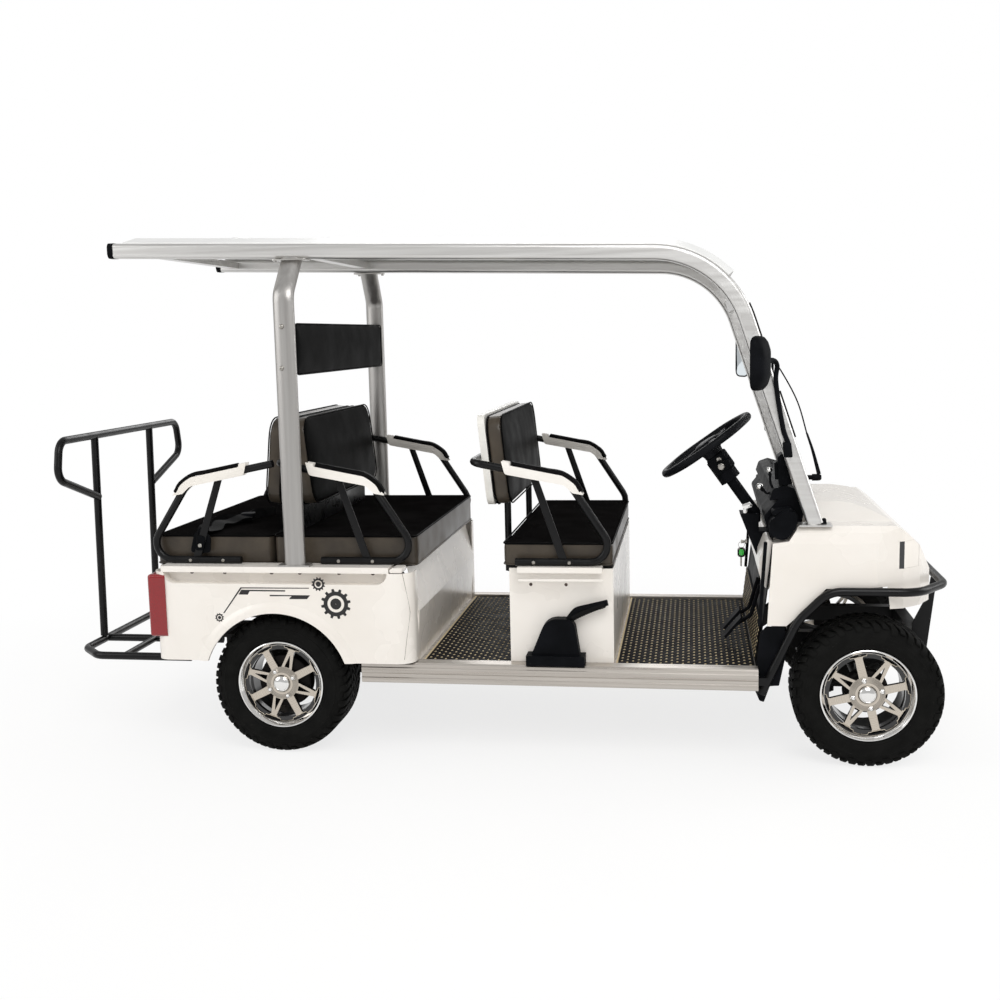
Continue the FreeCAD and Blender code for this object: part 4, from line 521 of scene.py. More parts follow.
# A stuffed pad: its outline in (u, v) and its thickness along w, in mm, on the axes given. The seams hold
# while the panels between them swell, and the face that it rests on stays flat.
def stuffPad(name, node, outline, thick, origin, axes, dressing, pad, body="chassis", flatBack=True):
    shape = bmesh.new()
    lower, upper = ([shape.verts.new((u / 1000, v / 1000, w / 1000)) for u, v in outline] for w in (0, thick))
    shape.faces.new(lower[::-1])
    shape.faces.new(upper)
    bridge(shape, lower, upper)
    bmesh.ops.triangulate(shape, faces=shape.faces)
    mesh = bpy.data.meshes.new(name)
    shape.to_mesh(mesh)
    shape.free()
    piece = bpy.data.objects.new(name, mesh)
    scene.collection.objects.link(piece)

    def applied():
        return bpy.data.meshes.new_from_object(piece.evaluated_get(bpy.context.evaluated_depsgraph_get()))

    remesh = piece.modifiers.new("voxels", "REMESH")
    remesh.mode = "VOXEL"
    remesh.voxel_size = pad["voxel"] / 1000 * 1
    piece.data = applied()
    piece.modifiers.clear()
    rest = [v.co.copy() for v in piece.data.vertices]
    seam = [Vector((u / 1000, v / 1000)) for u, v in outline]

    def seamDistance(co):
        near = 1.0
        for a, b in zip(seam, seam[1:] + seam[:1]):
            span = b - a
            t = min(1, max(0, (co.xy - a).dot(span) / max(span.length_squared, 1e-12)))
            near = min(near, (co.xy - a - span * t).length)
        return near

    held = piece.vertex_groups.new(name="held")
    for i, co in enumerate(rest):
        level = min(co.z, thick / 1000 - co.z)
        if math.hypot(seamDistance(co), level) < pad["voxel"] * 1.1 / 1000 or (flatBack and co.z < 0.002):
            held.add([i], 1.0, "REPLACE")
    cloth = piece.modifiers.new("stuffing", "CLOTH").settings
    cloth.quality = 4
    cloth.use_pressure = True
    cloth.uniform_pressure_force = pad["pressure"]
    cloth.effector_weights.gravity = 0
    cloth.vertex_group_mass = "held"
    for number in range(1, 21):
        scene.frame_set(number)
    swollen = applied()
    for before, vertex in zip(rest, swollen.vertices):
        move = vertex.co - before
        if move.length > pad["cap"] / 1000:
            vertex.co = before + move.normalized() * pad["cap"] / 1000
    piece.modifiers.clear()
    piece.data = swollen
    scene.frame_set(1)
    piece.modifiers.new("finer", "SUBSURF").levels = 1
    piece.data = applied()
    piece.modifiers.clear()
    mesh = piece.data
    mesh.materials.clear()
    for finish in dressing:
        mesh.materials.append(finishes[finish])
    for polygon in mesh.polygons:
        onBand = abs(polygon.normal.z) < 0.62 and 5 < polygon.center.z * 1000 < thick - 4
        polygon.material_index = 1 if onBand else 0
    mesh.shade_smooth()
    turned = Matrix([Vector(axis) for axis in axes]).transposed().to_4x4()
    mesh.transform(Matrix.Translation(at(*origin)) @ turned)
    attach(piece, body)
    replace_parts(piece, node)


# Welt sewn into the seam that runs round a pad at height w.
def sewWelt(name, outline, w, origin, axes, pad, body="chassis", finish="back"):
    first, second, third = (Vector(axis) for axis in axes)
    line = [Vector(origin) + first * u + second * v + third * w for u, v in outline]
    shape = bmesh.new()
    addTube(shape, line, pad["welt"], steps=8, closed=True, smooth=False)
    buildPiece(name, shape, finish, body, 60)


print("cushions")
cushionPad = {"voxel": 10.0, "pressure": 4.0, "cap": 7.0, "fill": 0.85, "welt": 3.2, "cornerRadius": 26,
              "half": 563}
upright = ((1, 0, 0), (0, 1, 0), (0, 0, 1))
cushions = {
    "front": {"rear": 842, "front": 1236, "low": 705.6, "high": 788, "body": "seat_lid"},
    "middle": {"rear": -21, "front": 521, "low": 700.4, "high": 812, "body": "chassis"},
    "rear": {"rear": -485, "front": -29, "low": 700.4, "high": 812, "body": "chassis"},
}
for row, cushion in cushions.items():
    body, half, thick = cushion["body"], cushionPad["half"], cushion["high"] - cushion["low"]
    outline = roundOff(rectangle(cushion["rear"], cushion["front"], -half, half), cushionPad["cornerRadius"], 5)
    name, place = row + "Cushion", ((0, 0, cushion["low"]), upright)
    stuffPad(name, row + "_cushion", outline, thick, *place, ("top", "band"), cushionPad, body)
    sewWelt(name + "UpperWelt", outline, thick - 1, *place, cushionPad, body)
    sewWelt(name + "LowerWelt", outline, 6, *place, cushionPad, body, "band")

print("backrests")
backPad = {"voxel": 10.0, "pressure": 4.0, "cap": 8.0, "fill": 0.8, "welt": 2.8, "cornerRadius": 78,
           "half": 466, "high": 332, "thick": 57, "foot": 912, "lean": math.radians(5.7)}
backs = {"front": (860, 1), "middle": (114, 1), "rear": (-84, -1)}   # the face's foot, and the way it faces
sineLean, cosineLean = math.sin(backPad["lean"]), math.cos(backPad["lean"])
for row, (foot, facing) in backs.items():
    axes = ((0, 1, 0), (-sineLean * facing, 0, cosineLean), (cosineLean * facing, 0, sineLean))
    thick = backPad["thick"]
    outline = rectangle(-backPad["half"], backPad["half"], 2, backPad["high"])
    outline = roundOff(outline, backPad["cornerRadius"], 6)
    name, origin = row + "Backrest", Vector((foot, 0, backPad["foot"])) - Vector(axes[2]) * (thick + 1.5)
    place = (origin, axes)
    stuffPad(name, row + "_backrest", outline, thick, *place, ("back", "band"), backPad)
    sewWelt(name + "FrontWelt", outline, thick - 1, *place, backPad)
    sewWelt(name + "RearWelt", outline, 4, *place, backPad)
headPad = {"voxel": 10.0, "pressure": 4.0, "cap": 7.0, "fill": 0.8, "welt": 2.4, "cornerRadius": 20,
           "half": 606, "low": 1407, "high": 1590, "thick": 54, "rear": 60}
outline = rectangle(-headPad["half"], headPad["half"], headPad["low"], headPad["high"])
outline = roundOff(outline, headPad["cornerRadius"], 5)
place = ((headPad["rear"], 0, 0), ((0, 1, 0), (0, 0, 1), (1, 0, 0)))
stuffPad("headPad", "head_pad", outline, headPad["thick"], *place, ("back", "back"), headPad, flatBack=False)
sewWelt("headPadFrontWelt", outline, headPad["thick"] - 1, *place, headPad)
sewWelt("headPadRearWelt", outline, 1, *place, headPad)


# A tread block along its stations of (depth, radius, lean, dip): lean turns its crest outward round the
# shoulder, and dip lowers the crest at its ends.
def addBlock(shape, centre, stations, middle, wide, skew, sign=1, high=8.5, bevel=1.8):
    rings = []
    for depth, radius, lean, dip in stations:
        half = wide / 2 - dip * 0.6
        section = [(-half, -high), (-half, -bevel - dip), (-half + bevel, -dip), (half - bevel, -dip),
                   (half, -bevel - dip), (half, -high)]
        ring = []
        for along, rise in section:
            far = radius + rise * math.cos(lean)
            angle = middle + skew * depth + along / radius
            side = sign * (depth + rise * math.sin(lean))
            ring.append(shape.verts.new(at(centre[0] + far * math.cos(angle), centre[1] + side,
                                           centre[2] + far * math.sin(angle))))
        rings.append(ring)
    for here, following in zip(rings, rings[1:]):
        bridge(shape, here, following)
    shape.faces.new(rings[0][::-1])
    shape.faces.new(rings[-1])


def crown(low, high):
    return [(low, 260, 0, 1.6), (low + 2, 260, 0, 0), (high - 2, 260, 0, 0), (high, 260, 0, 1.6)]


print("wheels")
tyre = {"blocks": 50, "blockWide": 23, "half": 95}
sidewall = [(155, 80), (158, 86), (165, 89), (170, 96.5), (175, 99.5), (178, 99), (188, 103.4), (200, 106),
            (211, 106.2), (213.5, 107.4), (216, 106.9), (218, 104.8), (229, 101.8), (240, 96), (248, 88),
            (251.5, 78), (252, 60)]
carcass = sidewall + [(252, 0)] + [(r, -d) for r, d in sidewall[::-1]]
shoulder = [(51, 260, 0, 1.6), (53, 260, 0, 0), (72, 259.6, 0.1, 0), (86, 257, 0.5, 0)]
shoulders = [(shoulder + [(97, 249, 1.0, 0), (103, 238, 1.25, 0), (105, 231, 1.35, 1.5)], 1.0),
             (shoulder + [(96, 250, 0.95, 0), (99, 246, 1.1, 1.5)], 0.9496)]
wheel = {"face": {"rear": 624, "front": 592}, "faceBack": 22, "nutCircle": 50.8,
         "drum": {"rear": 1.0, "front": 0.76},
         "scallop": [(0, 135.5), (5.5, 135.5), (8.5, 138), (11.5, 138.5), (13, 146.5), (22.5, 147.5)]}
lip = [(163.6, -8), (164.2, -3), (163.4, 0.4), (161, 1.5), (158.4, 0.9), (156, -2), (150.2, -10.5),
       (148.9, -12.4), (148.3, -12)]
dome = [(0, 15), (9, 14.7), (17, 13.2), (22, 11), (24, 9.6), (25, 10.6), (28, 9.2), (30.6, 5), (31.4, 0.4),
        (31.4, -18)]
drumProfile = [(34, 52), (60, 50), (92, 47), (98, 43), (99, 12), (104, 10), (104, 4), (60, 2)]
for end, side in ((end, side) for end in ("rear", "front") for side in sides):
    out, face = sides[side], wheel["face"][end]
    x, turn = (wheelBase if end == "front" else 0), math.radians(wheelTurn[end])
    body, title = "wheel_%s_%s" % (end, side), end.title() + side.title()
    centre = (x, (face - tyre["half"]) * out, wheelRadius)

    def onFace(radius, angle, depth):
        return (x + radius * math.cos(angle), depth * out, wheelRadius + radius * math.sin(angle))

    shape = bmesh.new()
    addTurned(shape, carcass, centre, steps=100)
    step, wide = math.tau / tyre["blocks"], tyre["blockWide"]
    for k in range(tyre["blocks"]):
        middle = step * k
        for sign in (1, -1):
            stations, share = shoulders[(k + (sign < 0)) % 2]
            addBlock(shape, centre, stations, middle, wide * share, 0.0016 * sign, sign)
            addBlock(shape, centre, crown(19, 46), middle + step * 0.45, wide, 0.004 * sign, sign)
        addBlock(shape, centre, crown(-14, 14), middle + step * 0.2, wide + 2, -0.005)
    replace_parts(buildPiece("tyre" + title, shape, "tyre", body, 30), "tyre_%s_%s" % (end, side))

    # Polished lip, the raised outline of the eight windows, wheel nuts and the domed cap.
    shape = bmesh.new()
    addTurned(shape, lip, (x, face * out, wheelRadius), steps=96, sign=out)
    marks = [(-a, r) for a, r in wheel["scallop"][:0:-1]] + wheel["scallop"]
    line = [onFace(r, math.tau * k / 8 + math.radians(a) + turn, face - wheel["faceBack"] + 1.0)
            for k in range(8) for a, r in marks[1:]]
    edge = [(-1.5, -3), (1.5, -3), (1.5, 0.4), (1.1, 0.8), (-1.1, 0.8), (-1.5, 0.4)]
    addDrawn(shape, line, edge, (0, out, 0), closed=True, slot=1)
    for k in range(4):
        nut = onFace(wheel["nutCircle"], math.tau * k / 4 + turn, face - wheel["faceBack"] - 6)
        addTurned(shape, [(0, 27), (3.4, 26.4), (6.2, 24.2), (7.4, 21), (7.5, 0)], nut, steps=20, sign=out)
        addTurned(shape, [(7.4, 20.6), (9.2, 19.4), (9.4, 8), (7.4, 8)], nut, steps=6, sign=out)
    addTurned(shape, dome, (x, (face - wheel["faceBack"] + 8) * out, wheelRadius), sign=out)
    buildPiece("wheelTrim" + title, shape, ("chrome", "wheelLine"), body, 34)

    # Brake drum with its backing plate, dark behind the spokes. Light shows past the front one, which is smaller.
    shape = bmesh.new()
    size = wheel["drum"][end]
    addTurned(shape, [(radius * size, depth) for radius, depth in drumProfile], centre, sign=out)
    for k in range(8):
        bolt = onFace(74 * size, math.tau * (k + 0.5) / 8, face - tyre["half"])
        addTurned(shape, [(0, 54), (5, 53.4), (6, 48)], bolt, steps=10, sign=out)
    buildPiece("brakeDrum" + title, shape, "castIron", body, 34)


# A line of tube with its corners bent to the radii given.
def bentLine(points, radii, steps=7):
    marks = [Vector(p) for p in points]
    line = [marks[0]]
    for before, here, after, reach in zip(marks, marks[1:], marks[2:], radii):
        back, ahead = (before - here).normalized(), (after - here).normalized()
        half = back.angle(ahead) / 2
        trim = reach / math.tan(half)
        middle = here + (back + ahead).normalized() * (trim / math.cos(half))
        first, last = here + back * trim - middle, here + ahead * trim - middle
        line += [middle + first.slerp(last, k / steps).normalized() * reach for k in range(steps + 1)]
    return line + [marks[-1]]


print("armrests")
arm = {"rear": (850, 1066), "bend": (1081, 1020), "knee": (1192, 850), "side": 592, "plate": (606.4, 609.6),
       "inner": (574.4, 577.6), "screws": (957, 1085), "base": 726, "tube": 14, "foot": 890, "turn": (1272, 1085),
       "bar": {"Front": 740, "Middle": 735, "Rear": 751},
       "strut": ((1047, 736), (1077, 736), (975, 1034), (946, 1040))}
# Each armrest is the front one, moved or turned round.
armPlaces = {"Front": (0, 1), "Middle": (-720, 1), "Rear": (750, -1)}

# Each pair of armrests is one tube from base to base behind its backrest, with a flat strut at each side.
shape = bmesh.new()
for name, (shift, facing) in armPlaces.items():
    far, top = arm["turn"]
    half = [(arm["foot"], arm["base"]), (far, arm["base"]), arm["bend"], (arm["bar"][name], top)]
    right, left = ([(shift + facing * x, arm["side"] * side, z) for x, z in half] for side in (-1, 1))
    lines = [bentLine(right, (62, 60)), bentLine(left, (62, 60))]
    if name != "Rear":
        lines = [bentLine(right + left[::-1], (62, 60, 45, 45, 60, 62))]
    for line in lines:
        addTube(shape, line, arm["tube"], steps=14, smooth=False)
    strut = [(shift + facing * x, z) for x, z in arm["strut"]]
    for side in (-1, 1):
        addPrism(shape, strut, (arm["side"] - 3.5) * side, (arm["side"] + 3.5) * side, bevel=1)
# Plinth and uprights between the middle and rear backrests, and the posts behind the front one.
addPrism(shape, rectangle(-21.5, 59.5, 817.5, 911.5), -430, 430, bevel=3)
uprightOutline = [(-21.5, 910.5), (51.5, 910.5), (51.5, 912), (22.7, 1200), (7.3, 1200), (-21.5, 912)]
for side in (-1, 1):
    addPrism(shape, uprightOutline, 285 * side, 315 * side, bevel=1.5)
    addTube(shape, [(822, 300 * side, 637), (822, 300 * side, 911)], 13, steps=16, smooth=False)
    addPrism(shape, rectangle(822, 861.4, 637, 689), 280 * side, 320 * side, bevel=2)
armFrames = buildPiece("armFrames", shape, "tube", sharp=40)
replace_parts(armFrames, "front_armrests", "middle_armrests", "rear_armrests")


# A point s mm along one leg of the armrest and h mm above the middle of its tube.
def onArm(leg, s, h):
    start, end = (Vector(arm[k]) for k in (("rear", "bend") if leg == 1 else ("bend", "knee")))
    ahead = (end - start).normalized()
    return start + ahead * s + Vector((-ahead.y, ahead.x)) * h


def armCorner(h):
    first, second = onArm(1, 0, 1) - onArm(1, 0, 0), onArm(2, 0, 1) - onArm(2, 0, 0)
    return Vector(arm["bend"]) + (first + second) * (h / (1 + first.dot(second)))


plate = [(*onArm(1, -7, 24), 2), (*onArm(1, 22, 25), 2), (*onArm(1, 25, 14), 4), (*armCorner(14), 60),
         (*onArm(2, 76, 22), 2), (*onArm(2, 48, -8), 6), (*armCorner(-18), 40), (*onArm(1, 14, -20), 14)]
padSection = [(-18, 0), (-18.8, 4), (-18, 9), (-15.6, 12.4), (-10.6, 13.9), (-9.7, 12.2), (-8.8, 14),
              (-0.9, 14.4)]
padSection += [(0, 12.7)] + [(-across, rise) for across, rise in padSection[::-1]]
padLine = [onArm(1, s, 14.6) for s in (28, 32, 40, 100, 160, 212)]
padLine += [onArm(2, s, 14.6) for s in (22, 44, 58, 66)]
padShape, plateShape, screwShape = bmesh.new(), bmesh.new(), bmesh.new()
for shift, facing in armPlaces.values():
    outline = [(shift + facing * x, z) for x, z in roundOff(plate, steps=5)]
    for side in (-1, 1):
        for low, high in (arm["plate"], arm["inner"]):
            addPrism(plateShape, outline, low * side, high * side, bevel=0.8)
        line = smoothLine([(shift + facing * p.x, arm["side"] * side, p.y) for p in padLine], 9)
        addDrawn(padShape, line, padSection, taper=lambda t: min(1, 0.45 + 26 * t, 0.45 + 26 * (1 - t)))
        for x in arm["screws"]:
            addScrew(screwShape, (shift + facing * x, 605.6 * side, arm["base"]), side, 6.5)
armPads = buildPiece("armPads", padShape, "softPlastic", sharp=40)
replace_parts(armPads, "arm_pads")
buildPiece("armPlates", plateShape, "plate")
buildPiece("armScrews", screwShape, "screw")

print("floor mats")
mat = {"diamond": 40, "puff": 3.2, "grid": 5.0, "half": 560, "toeInset": 24, "stitch": 8, "thread": 1.6,
       "margin": 8}
mats = {   # the middle of each mat's rear edge, the ways ahead and up, and its length
    "front": ((1243, 0, 340.4), (1, 0, 0), (0, 0, 1), 494),
    "rear": ((530, 0, 340.4), (1, 0, 0), (0, 0, 1), 328),
    "toe": ((1738.5, 0, 352), (0.1187, 0, 0.9929), (-0.9929, 0, 0.1187), 150),
}


# Height of the quilting over its seams, which cross in diamonds.
def quiltHeight(u, v):
    first, second = (u + v) / mat["diamond"], (u - v) / mat["diamond"]
    return mat["puff"] * math.sqrt(abs(math.sin(math.pi * first) * math.sin(math.pi * second)))


quilt, threads = bmesh.new(), bmesh.new()
binding = [(-3.5, -2.2), (3.5, -2.2), (3.5, 1.2), (2, 2.2), (-2, 2.2), (-3.5, 1.2)]
for name, (corner, ahead, up, long) in mats.items():
    corner, ahead, up = Vector(corner), Vector(ahead), Vector(up)
    half = mat["half"] - (mat["toeInset"] if name == "toe" else 0)

    def onMat(u, v, rise):
        return corner + ahead * u + Vector((0, v, 0)) + up * rise

    columns, rows = round(long / mat["grid"]), round(2 * mat["half"] / mat["grid"])
    grid = []
    for i in range(columns + 1):
        u = long * i / columns
        row = []
        for j in range(rows + 1):
            v = -half + 2 * half * j / rows
            rim = min(1, min(u, long - u, half - abs(v)) / 10)
            row.append(quilt.verts.new(at(*onMat(u, v, 1.4 + rim * quiltHeight(u, v)))))
        grid.append(row)
    for here, following in zip(grid, grid[1:]):
        for j in range(rows):
            quilt.faces.new((here[j], following[j], following[j + 1], here[j + 1]))
    edge = grid[0][:] + [row[-1] for row in grid[1:]] + grid[-1][-2::-1] + [row[0] for row in grid[-2:0:-1]]
    bridge(quilt, edge, [quilt.verts.new(v.co - up * 0.0014) for v in edge])
    pitch = mat["diamond"] / 2
    reach = int(half / pitch)
    for i in range(int(long / pitch) + 1):
        for j in range(-reach, reach + 1):
            u, v = i * pitch, j * pitch
            if (i + j) % 2 or not mat["margin"] < u < long - mat["margin"] or abs(v) > half - mat["margin"]:
                continue
            for turn in (1, -1):
                way = Vector((1, turn, 0)).normalized() * mat["stitch"] / 2
                ends = [onMat(u + s * way.x, v + s * way.y, 1.9 + 0.7 * (turn > 0)) for s in (-1, 0, 1)]
                ends[1] += up * 0.8
                addTube(threads, ends, mat["thread"], steps=4, smooth=False)
    if name != "toe":
        addDrawn(threads, [onMat(3, v, 2.4) for v in (-half, half)], binding, up)
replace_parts(buildPiece("quiltedFloorMat", quilt, "mat", sharp=70), "floor_mat")
buildPiece("matStitching", threads, "thread", sharp=70)

print("roof")
roof = {"ribs": (-179, 198, 567, 947), "ribHalf": 430, "endX": -609, "endZ": 1873, "railY": 520}
onRoof = skinOf("roof_panel")
ribSection = [(-24, 0), (24, 0), (21, 3.4), (15, 5.4), (-15, 5.4), (-21, 3.4)]
shape = bmesh.new()
for x in roof["ribs"]:
    stations = [-roof["ribHalf"] + 2 * roof["ribHalf"] * k / 40 for k in range(41)]
    line = [(x, y, onRoof((x, y, 2100), (0, 0, -1))[2] - 1.0) for y in stations]
    addDrawn(shape, line, ribSection, taper=lambda t: min(1, 0.25 + 9 * t, 0.25 + 9 * (1 - t)))
buildPiece("roofRibs", shape, "roof", sharp=50)
shape = bmesh.new()
for side in (-1, 1):
    y, z = roof["railY"] * side, roof["endZ"]
    outline = roundOff(rectangle(y - 31, y + 31, z - 28, z + 28), 15, 5)
    addPrism(shape, outline, roof["endX"] - 6, roof["endX"] + 16, along="x", bevel=2.5)
buildPiece("railEndCaps", shape, "plastic")

print("graphics on the rear body")
film = {"low": 654.8, "high": 655.5}   # the film lies on the panel's skin
cogs = [(-212, 520, 17, 10), (173, 650, 26, 12), (236, 577, 56, 12)]   # x, z, radius, teeth
bars = [
    [(-197, 537), (-192, 537), (-121, 631), (137, 633), (137, 636), (-125, 635)],
    [(-134, 608), (-98, 608), (-90, 621), (46, 621), (46, 626), (-122, 626)],
    [(-14, 603), (70, 604), (63, 598), (60, 593), (128, 594), (140, 608), (-14, 608)],
]


def addCog(shape, x, z, radius, teeth, side):
    def band(outer, inner, steps):
        rings = []
        for level in film.values():
            for reach in (outer, inner):
                spots = [(reach(k), math.tau * k / steps) for k in range(steps)]
                rings.append([shape.verts.new(at(x + r * math.cos(a), level * side, z + r * math.sin(a)))
                              for r, a in spots])
        for k in range(steps):
            m = (k + 1) % steps
            for a, b in ((2, 3), (0, 2), (3, 1), (1, 0)):
                shape.faces.new((rings[a][k], rings[a][m], rings[b][m], rings[b][k]))
    band(lambda k: radius * (1 if k % 10 in (2, 3, 4, 5) else 0.82), lambda k: radius * 0.56, teeth * 10)
    band(lambda k: radius * 0.37, lambda k: radius * 0.02, 32)


shape = bmesh.new()
for side in (-1, 1):
    for cog in cogs:
        addCog(shape, *cog, side)
    for bar in bars:
        addPrism(shape, bar, film["low"] * side, film["high"] * side)
buildPiece("sideGraphics", shape, "ink")

print("body trim")
trim = {"plugs": (-318, -190, -9, 98, 247, 374), "plugY": 636, "lipUnder": 690,
        "seam": ((500, 690), (508, 640), (519, 560), (519, 530), (508, 450), (498, 372))}
plugProfile = [(0, 9), (4, 8.6), (6.4, 6.4), (6.8, 3), (9, 2.4), (9.4, -1)]
plugShape, seamShape = bmesh.new(), bmesh.new()
for name, side in sides.items():
    onSide = skinOf("rear_side_panel_" + name)
    for x in trim["plugs"]:
        addTurned(plugShape, plugProfile, (x, trim["plugY"] * side, trim["lipUnder"]), "z", 14, sign=-1)
    hits = [onSide((x - 14, 900 * side, z), (0, -side, 0)) for x, z in trim["seam"]]
    line = smoothLine([hit for hit in hits if hit], 18)
    addDrawn(seamShape, line, [(-1.1, -1), (1.1, -1), (1.1, 0.3), (-1.1, 0.3)], (0, side, 0))
# These bolt heads sit under the rear deck's lip, and their dark brown is the lip's painted shade.
buildPiece("lipPlugs", plugShape, "dustBolt")
buildPiece("panelSeams", seamShape, "seam")

print("pillar fittings, belts and handbrake")
fittings = {"headBolts": ((69, 1580), (62, 1433)), "belt": 45, "beltThick": 1.8}
shape, plateShape = bmesh.new(), bmesh.new()
for name, side in sides.items():
    onPillar = skinOf("rear_pillar_" + name)
    for x, z in fittings["headBolts"]:
        hit = onPillar((x + 8, 900 * side, z), (0, -side, 0))
        if hit:
            addScrew(shape, hit, side, 9, 7)
    addPrism(plateShape, roundOff(rectangle(24, 150, 498 * side, 574 * side), 8), 1816.4, 1821.6, "z", 1)
    for x in (34, 141):
        addTurned(plateShape, [(0, 6), (5.04, 6), (7, 4.8), (7, 0)], (x, 566 * side, 1816.4), "z", 6, sign=-1)
buildPiece("pillarBolts", shape, "screw")
buildPiece("pillarPlates", plateShape, "angle")

# A moulded lip with two screws over each side of the bench, and the corner that closes the rear deck's lip.
benchLip = roundOff([(903, 662), (1206, 664), (1206, 672), (903, 670)], 3)
deckCorner = roundOff([(440, 704), (440, 693), (486, 693), (486, 711), (452, 711)], 3)
shape, lipShape = bmesh.new(), bmesh.new()
for side in (-1, 1):
    addPrism(lipShape, benchLip, 624 * side, 629 * side, bevel=1.6)
    for x in (949, 1075):
        addScrew(shape, (x, 625 * side, 651), side)
    addPrism(lipShape, deckCorner, 588 * side, 654 * side, bevel=2)
buildPiece("bodyLips", lipShape, "body")
# The bench's screws under its lip carry the same dark brown painted shade.
buildPiece("benchScrews", shape, "dustBolt")

# Lap belts: the anchor stands at the side of the rear cushion, and the webbing lies bunched on the seat.
beltRuns = (
    [(-300, -582, 790), (-300, -578, 816), (-303, -556, 829), (-312, -500, 827), (-322, -420, 828),
     (-300, -350, 838), (-262, -300, 829), (-240, -240, 827), (-228, -170, 836), (-205, -110, 828),
     (-190, -50, 827)],
    [(-286, -560, 834), (-270, -500, 831), (-282, -430, 842), (-262, -370, 836), (-236, -330, 848),
     (-214, -296, 846)],
)
anchor = roundOff([(-340, 752), (-262, 752), (-258, 806), (-288, 854), (-322, 820)], 12, 5)
cover = roundOff([(-316, 762), (-284, 762), (-276, 812), (-306, 820)], 8, 4)
half, thin = fittings["belt"] / 2, fittings["beltThick"] / 2
beltShape, anchorShape, boltShape = bmesh.new(), bmesh.new(), bmesh.new()
for side in (-1, 1):
    for run in beltRuns:
        line = smoothLine([(x, y * -side, z) for x, y, z in run], 10)
        addDrawn(beltShape, line, rectangle(-half, half, -thin, thin), (0.25, 0, 1))
    addPrism(anchorShape, anchor, 584 * side, 590 * side, bevel=1.5)
    addPrism(anchorShape, cover, 588 * side, 600 * side, bevel=3)
    buckle = [(-246, 312 * side), (-196, 300 * side), (-204, 246 * side), (-254, 258 * side)]
    addPrism(anchorShape, roundOff(buckle, 8, 4), 836, 856, along="z", bevel=5, segments=3)
    addScrew(boltShape, (-297, 600 * side, 780), side, 8, 4)
buildPiece("lapBelts", beltShape, "webbing", sharp=60)
buildPiece("beltAnchors", anchorShape, "plastic", sharp=40)
buildPiece("beltBolts", boltShape, "screw")

# Ribbed grip of the handbrake, closed at its ends.
shape = bmesh.new()
grip = smoothLine([(1086, -590, 520), (1120, -590, 537), (1164, -590, 557), (1214, -590, 575)], 2.5)
addDrawn(shape, grip, [(a, b * 12.5 / 15) for a, b in circle(15, 16)],
         taper=lambda t: (0.94 + 0.06 * math.cos(math.tau * 16 * t)) * min(1, 0.6 + 8 * t, 0.55 + 7 * (1 - t)))
buildPiece("brakeGrip", shape, "seal", sharp=60)

print("dash")
dashTrim = {"half": 478, "podInner": 470, "podOuter": 558}
hump = [(1812, 936), (1888, 936), (1896, 905, 4), (1902, 930), (1871, 975, 16), (1836, 985, 16),
        (1799, 972, 14), (1786, 930, 4)]
pod = [(1781, 868, 30), (1785, 812, 26), (1838, 801, 22), (1855, 824, 20), (1876, 850, 14), (1878, 896, 10),
       (1834, 908, 26)]
tray = [(1790, 884, 10), (1794, 862, 10), (1852, 866, 10), (1866, 892, 8)]
shape = bmesh.new()
addPrism(shape, roundOff(hump, 6)[::-1], -dashTrim["half"], dashTrim["half"], bevel=6, segments=3)
for side in (-1, 1):
    low, high = dashTrim["podInner"] * side, dashTrim["podOuter"] * side
    addPrism(shape, roundOff(pod, 10, 6), low, high, bevel=16, segments=4)
    addPrism(shape, [(x, z + 22) for x, z in roundOff(tray, 8)], low + 14 * side, high - 10 * side, bevel=4)
buildPiece("dashPods", shape, "plastic", sharp=40)

# Switch panel on the dash beside the right pillar.
shape = bmesh.new()
panel = [(1818, 986), (1846, 986), (1867, 990), (1831, 1100), (1814, 1084)]
addPrism(shape, roundOff(panel, 5), -474, -392, bevel=3)
addPrism(shape, roundOff([(1806, 1004), (1822, 1004), (1818, 1070), (1803, 1062)], 4), -462, -404, bevel=2)
buildPiece("switchPanel", shape, "plastic", sharp=40)

# Two chrome knobs on their bent stalks, and the column's chrome clamp.
knobs = ((-400, [(1806, 972), (1800, 955), (1784, 946), (1768, 960)], (1757, 972), 12.5),
         (-440, [(1800, 972), (1792, 990), (1790, 1020)], (1788, 1036), 10))
collar = [(0, 5), (5, 5), (6.5, 3), (6.5, -3), (5, -5), (0, -5)]
shape = bmesh.new()
for y, stalk, ball, radius in knobs:
    addTube(shape, [(x, y, z) for x, z in stalk], 4.2, steps=12, slot=1)
    bends = [math.pi * k / 14 for k in range(15)]
    profile = [(radius * math.sin(a), -radius * math.cos(a)) for a in bends]
    addTurned(shape, profile, (ball[0], y, ball[1]), steps=28)
    addTurned(shape, collar, (stalk[-1][0], y, stalk[-1][1]), steps=16, slot=1)
addPrism(shape, roundOff([(1694, 896), (1724, 908), (1738, 892), (1706, 880)], 4), -344, -338, bevel=1.5)
addPrism(shape, roundOff([(1700, 886), (1716, 890), (1714, 866), (1702, 866)], 3), -343, -339, bevel=1)
buildPiece("dashKnobs", shape, ("chrome", "plastic"))

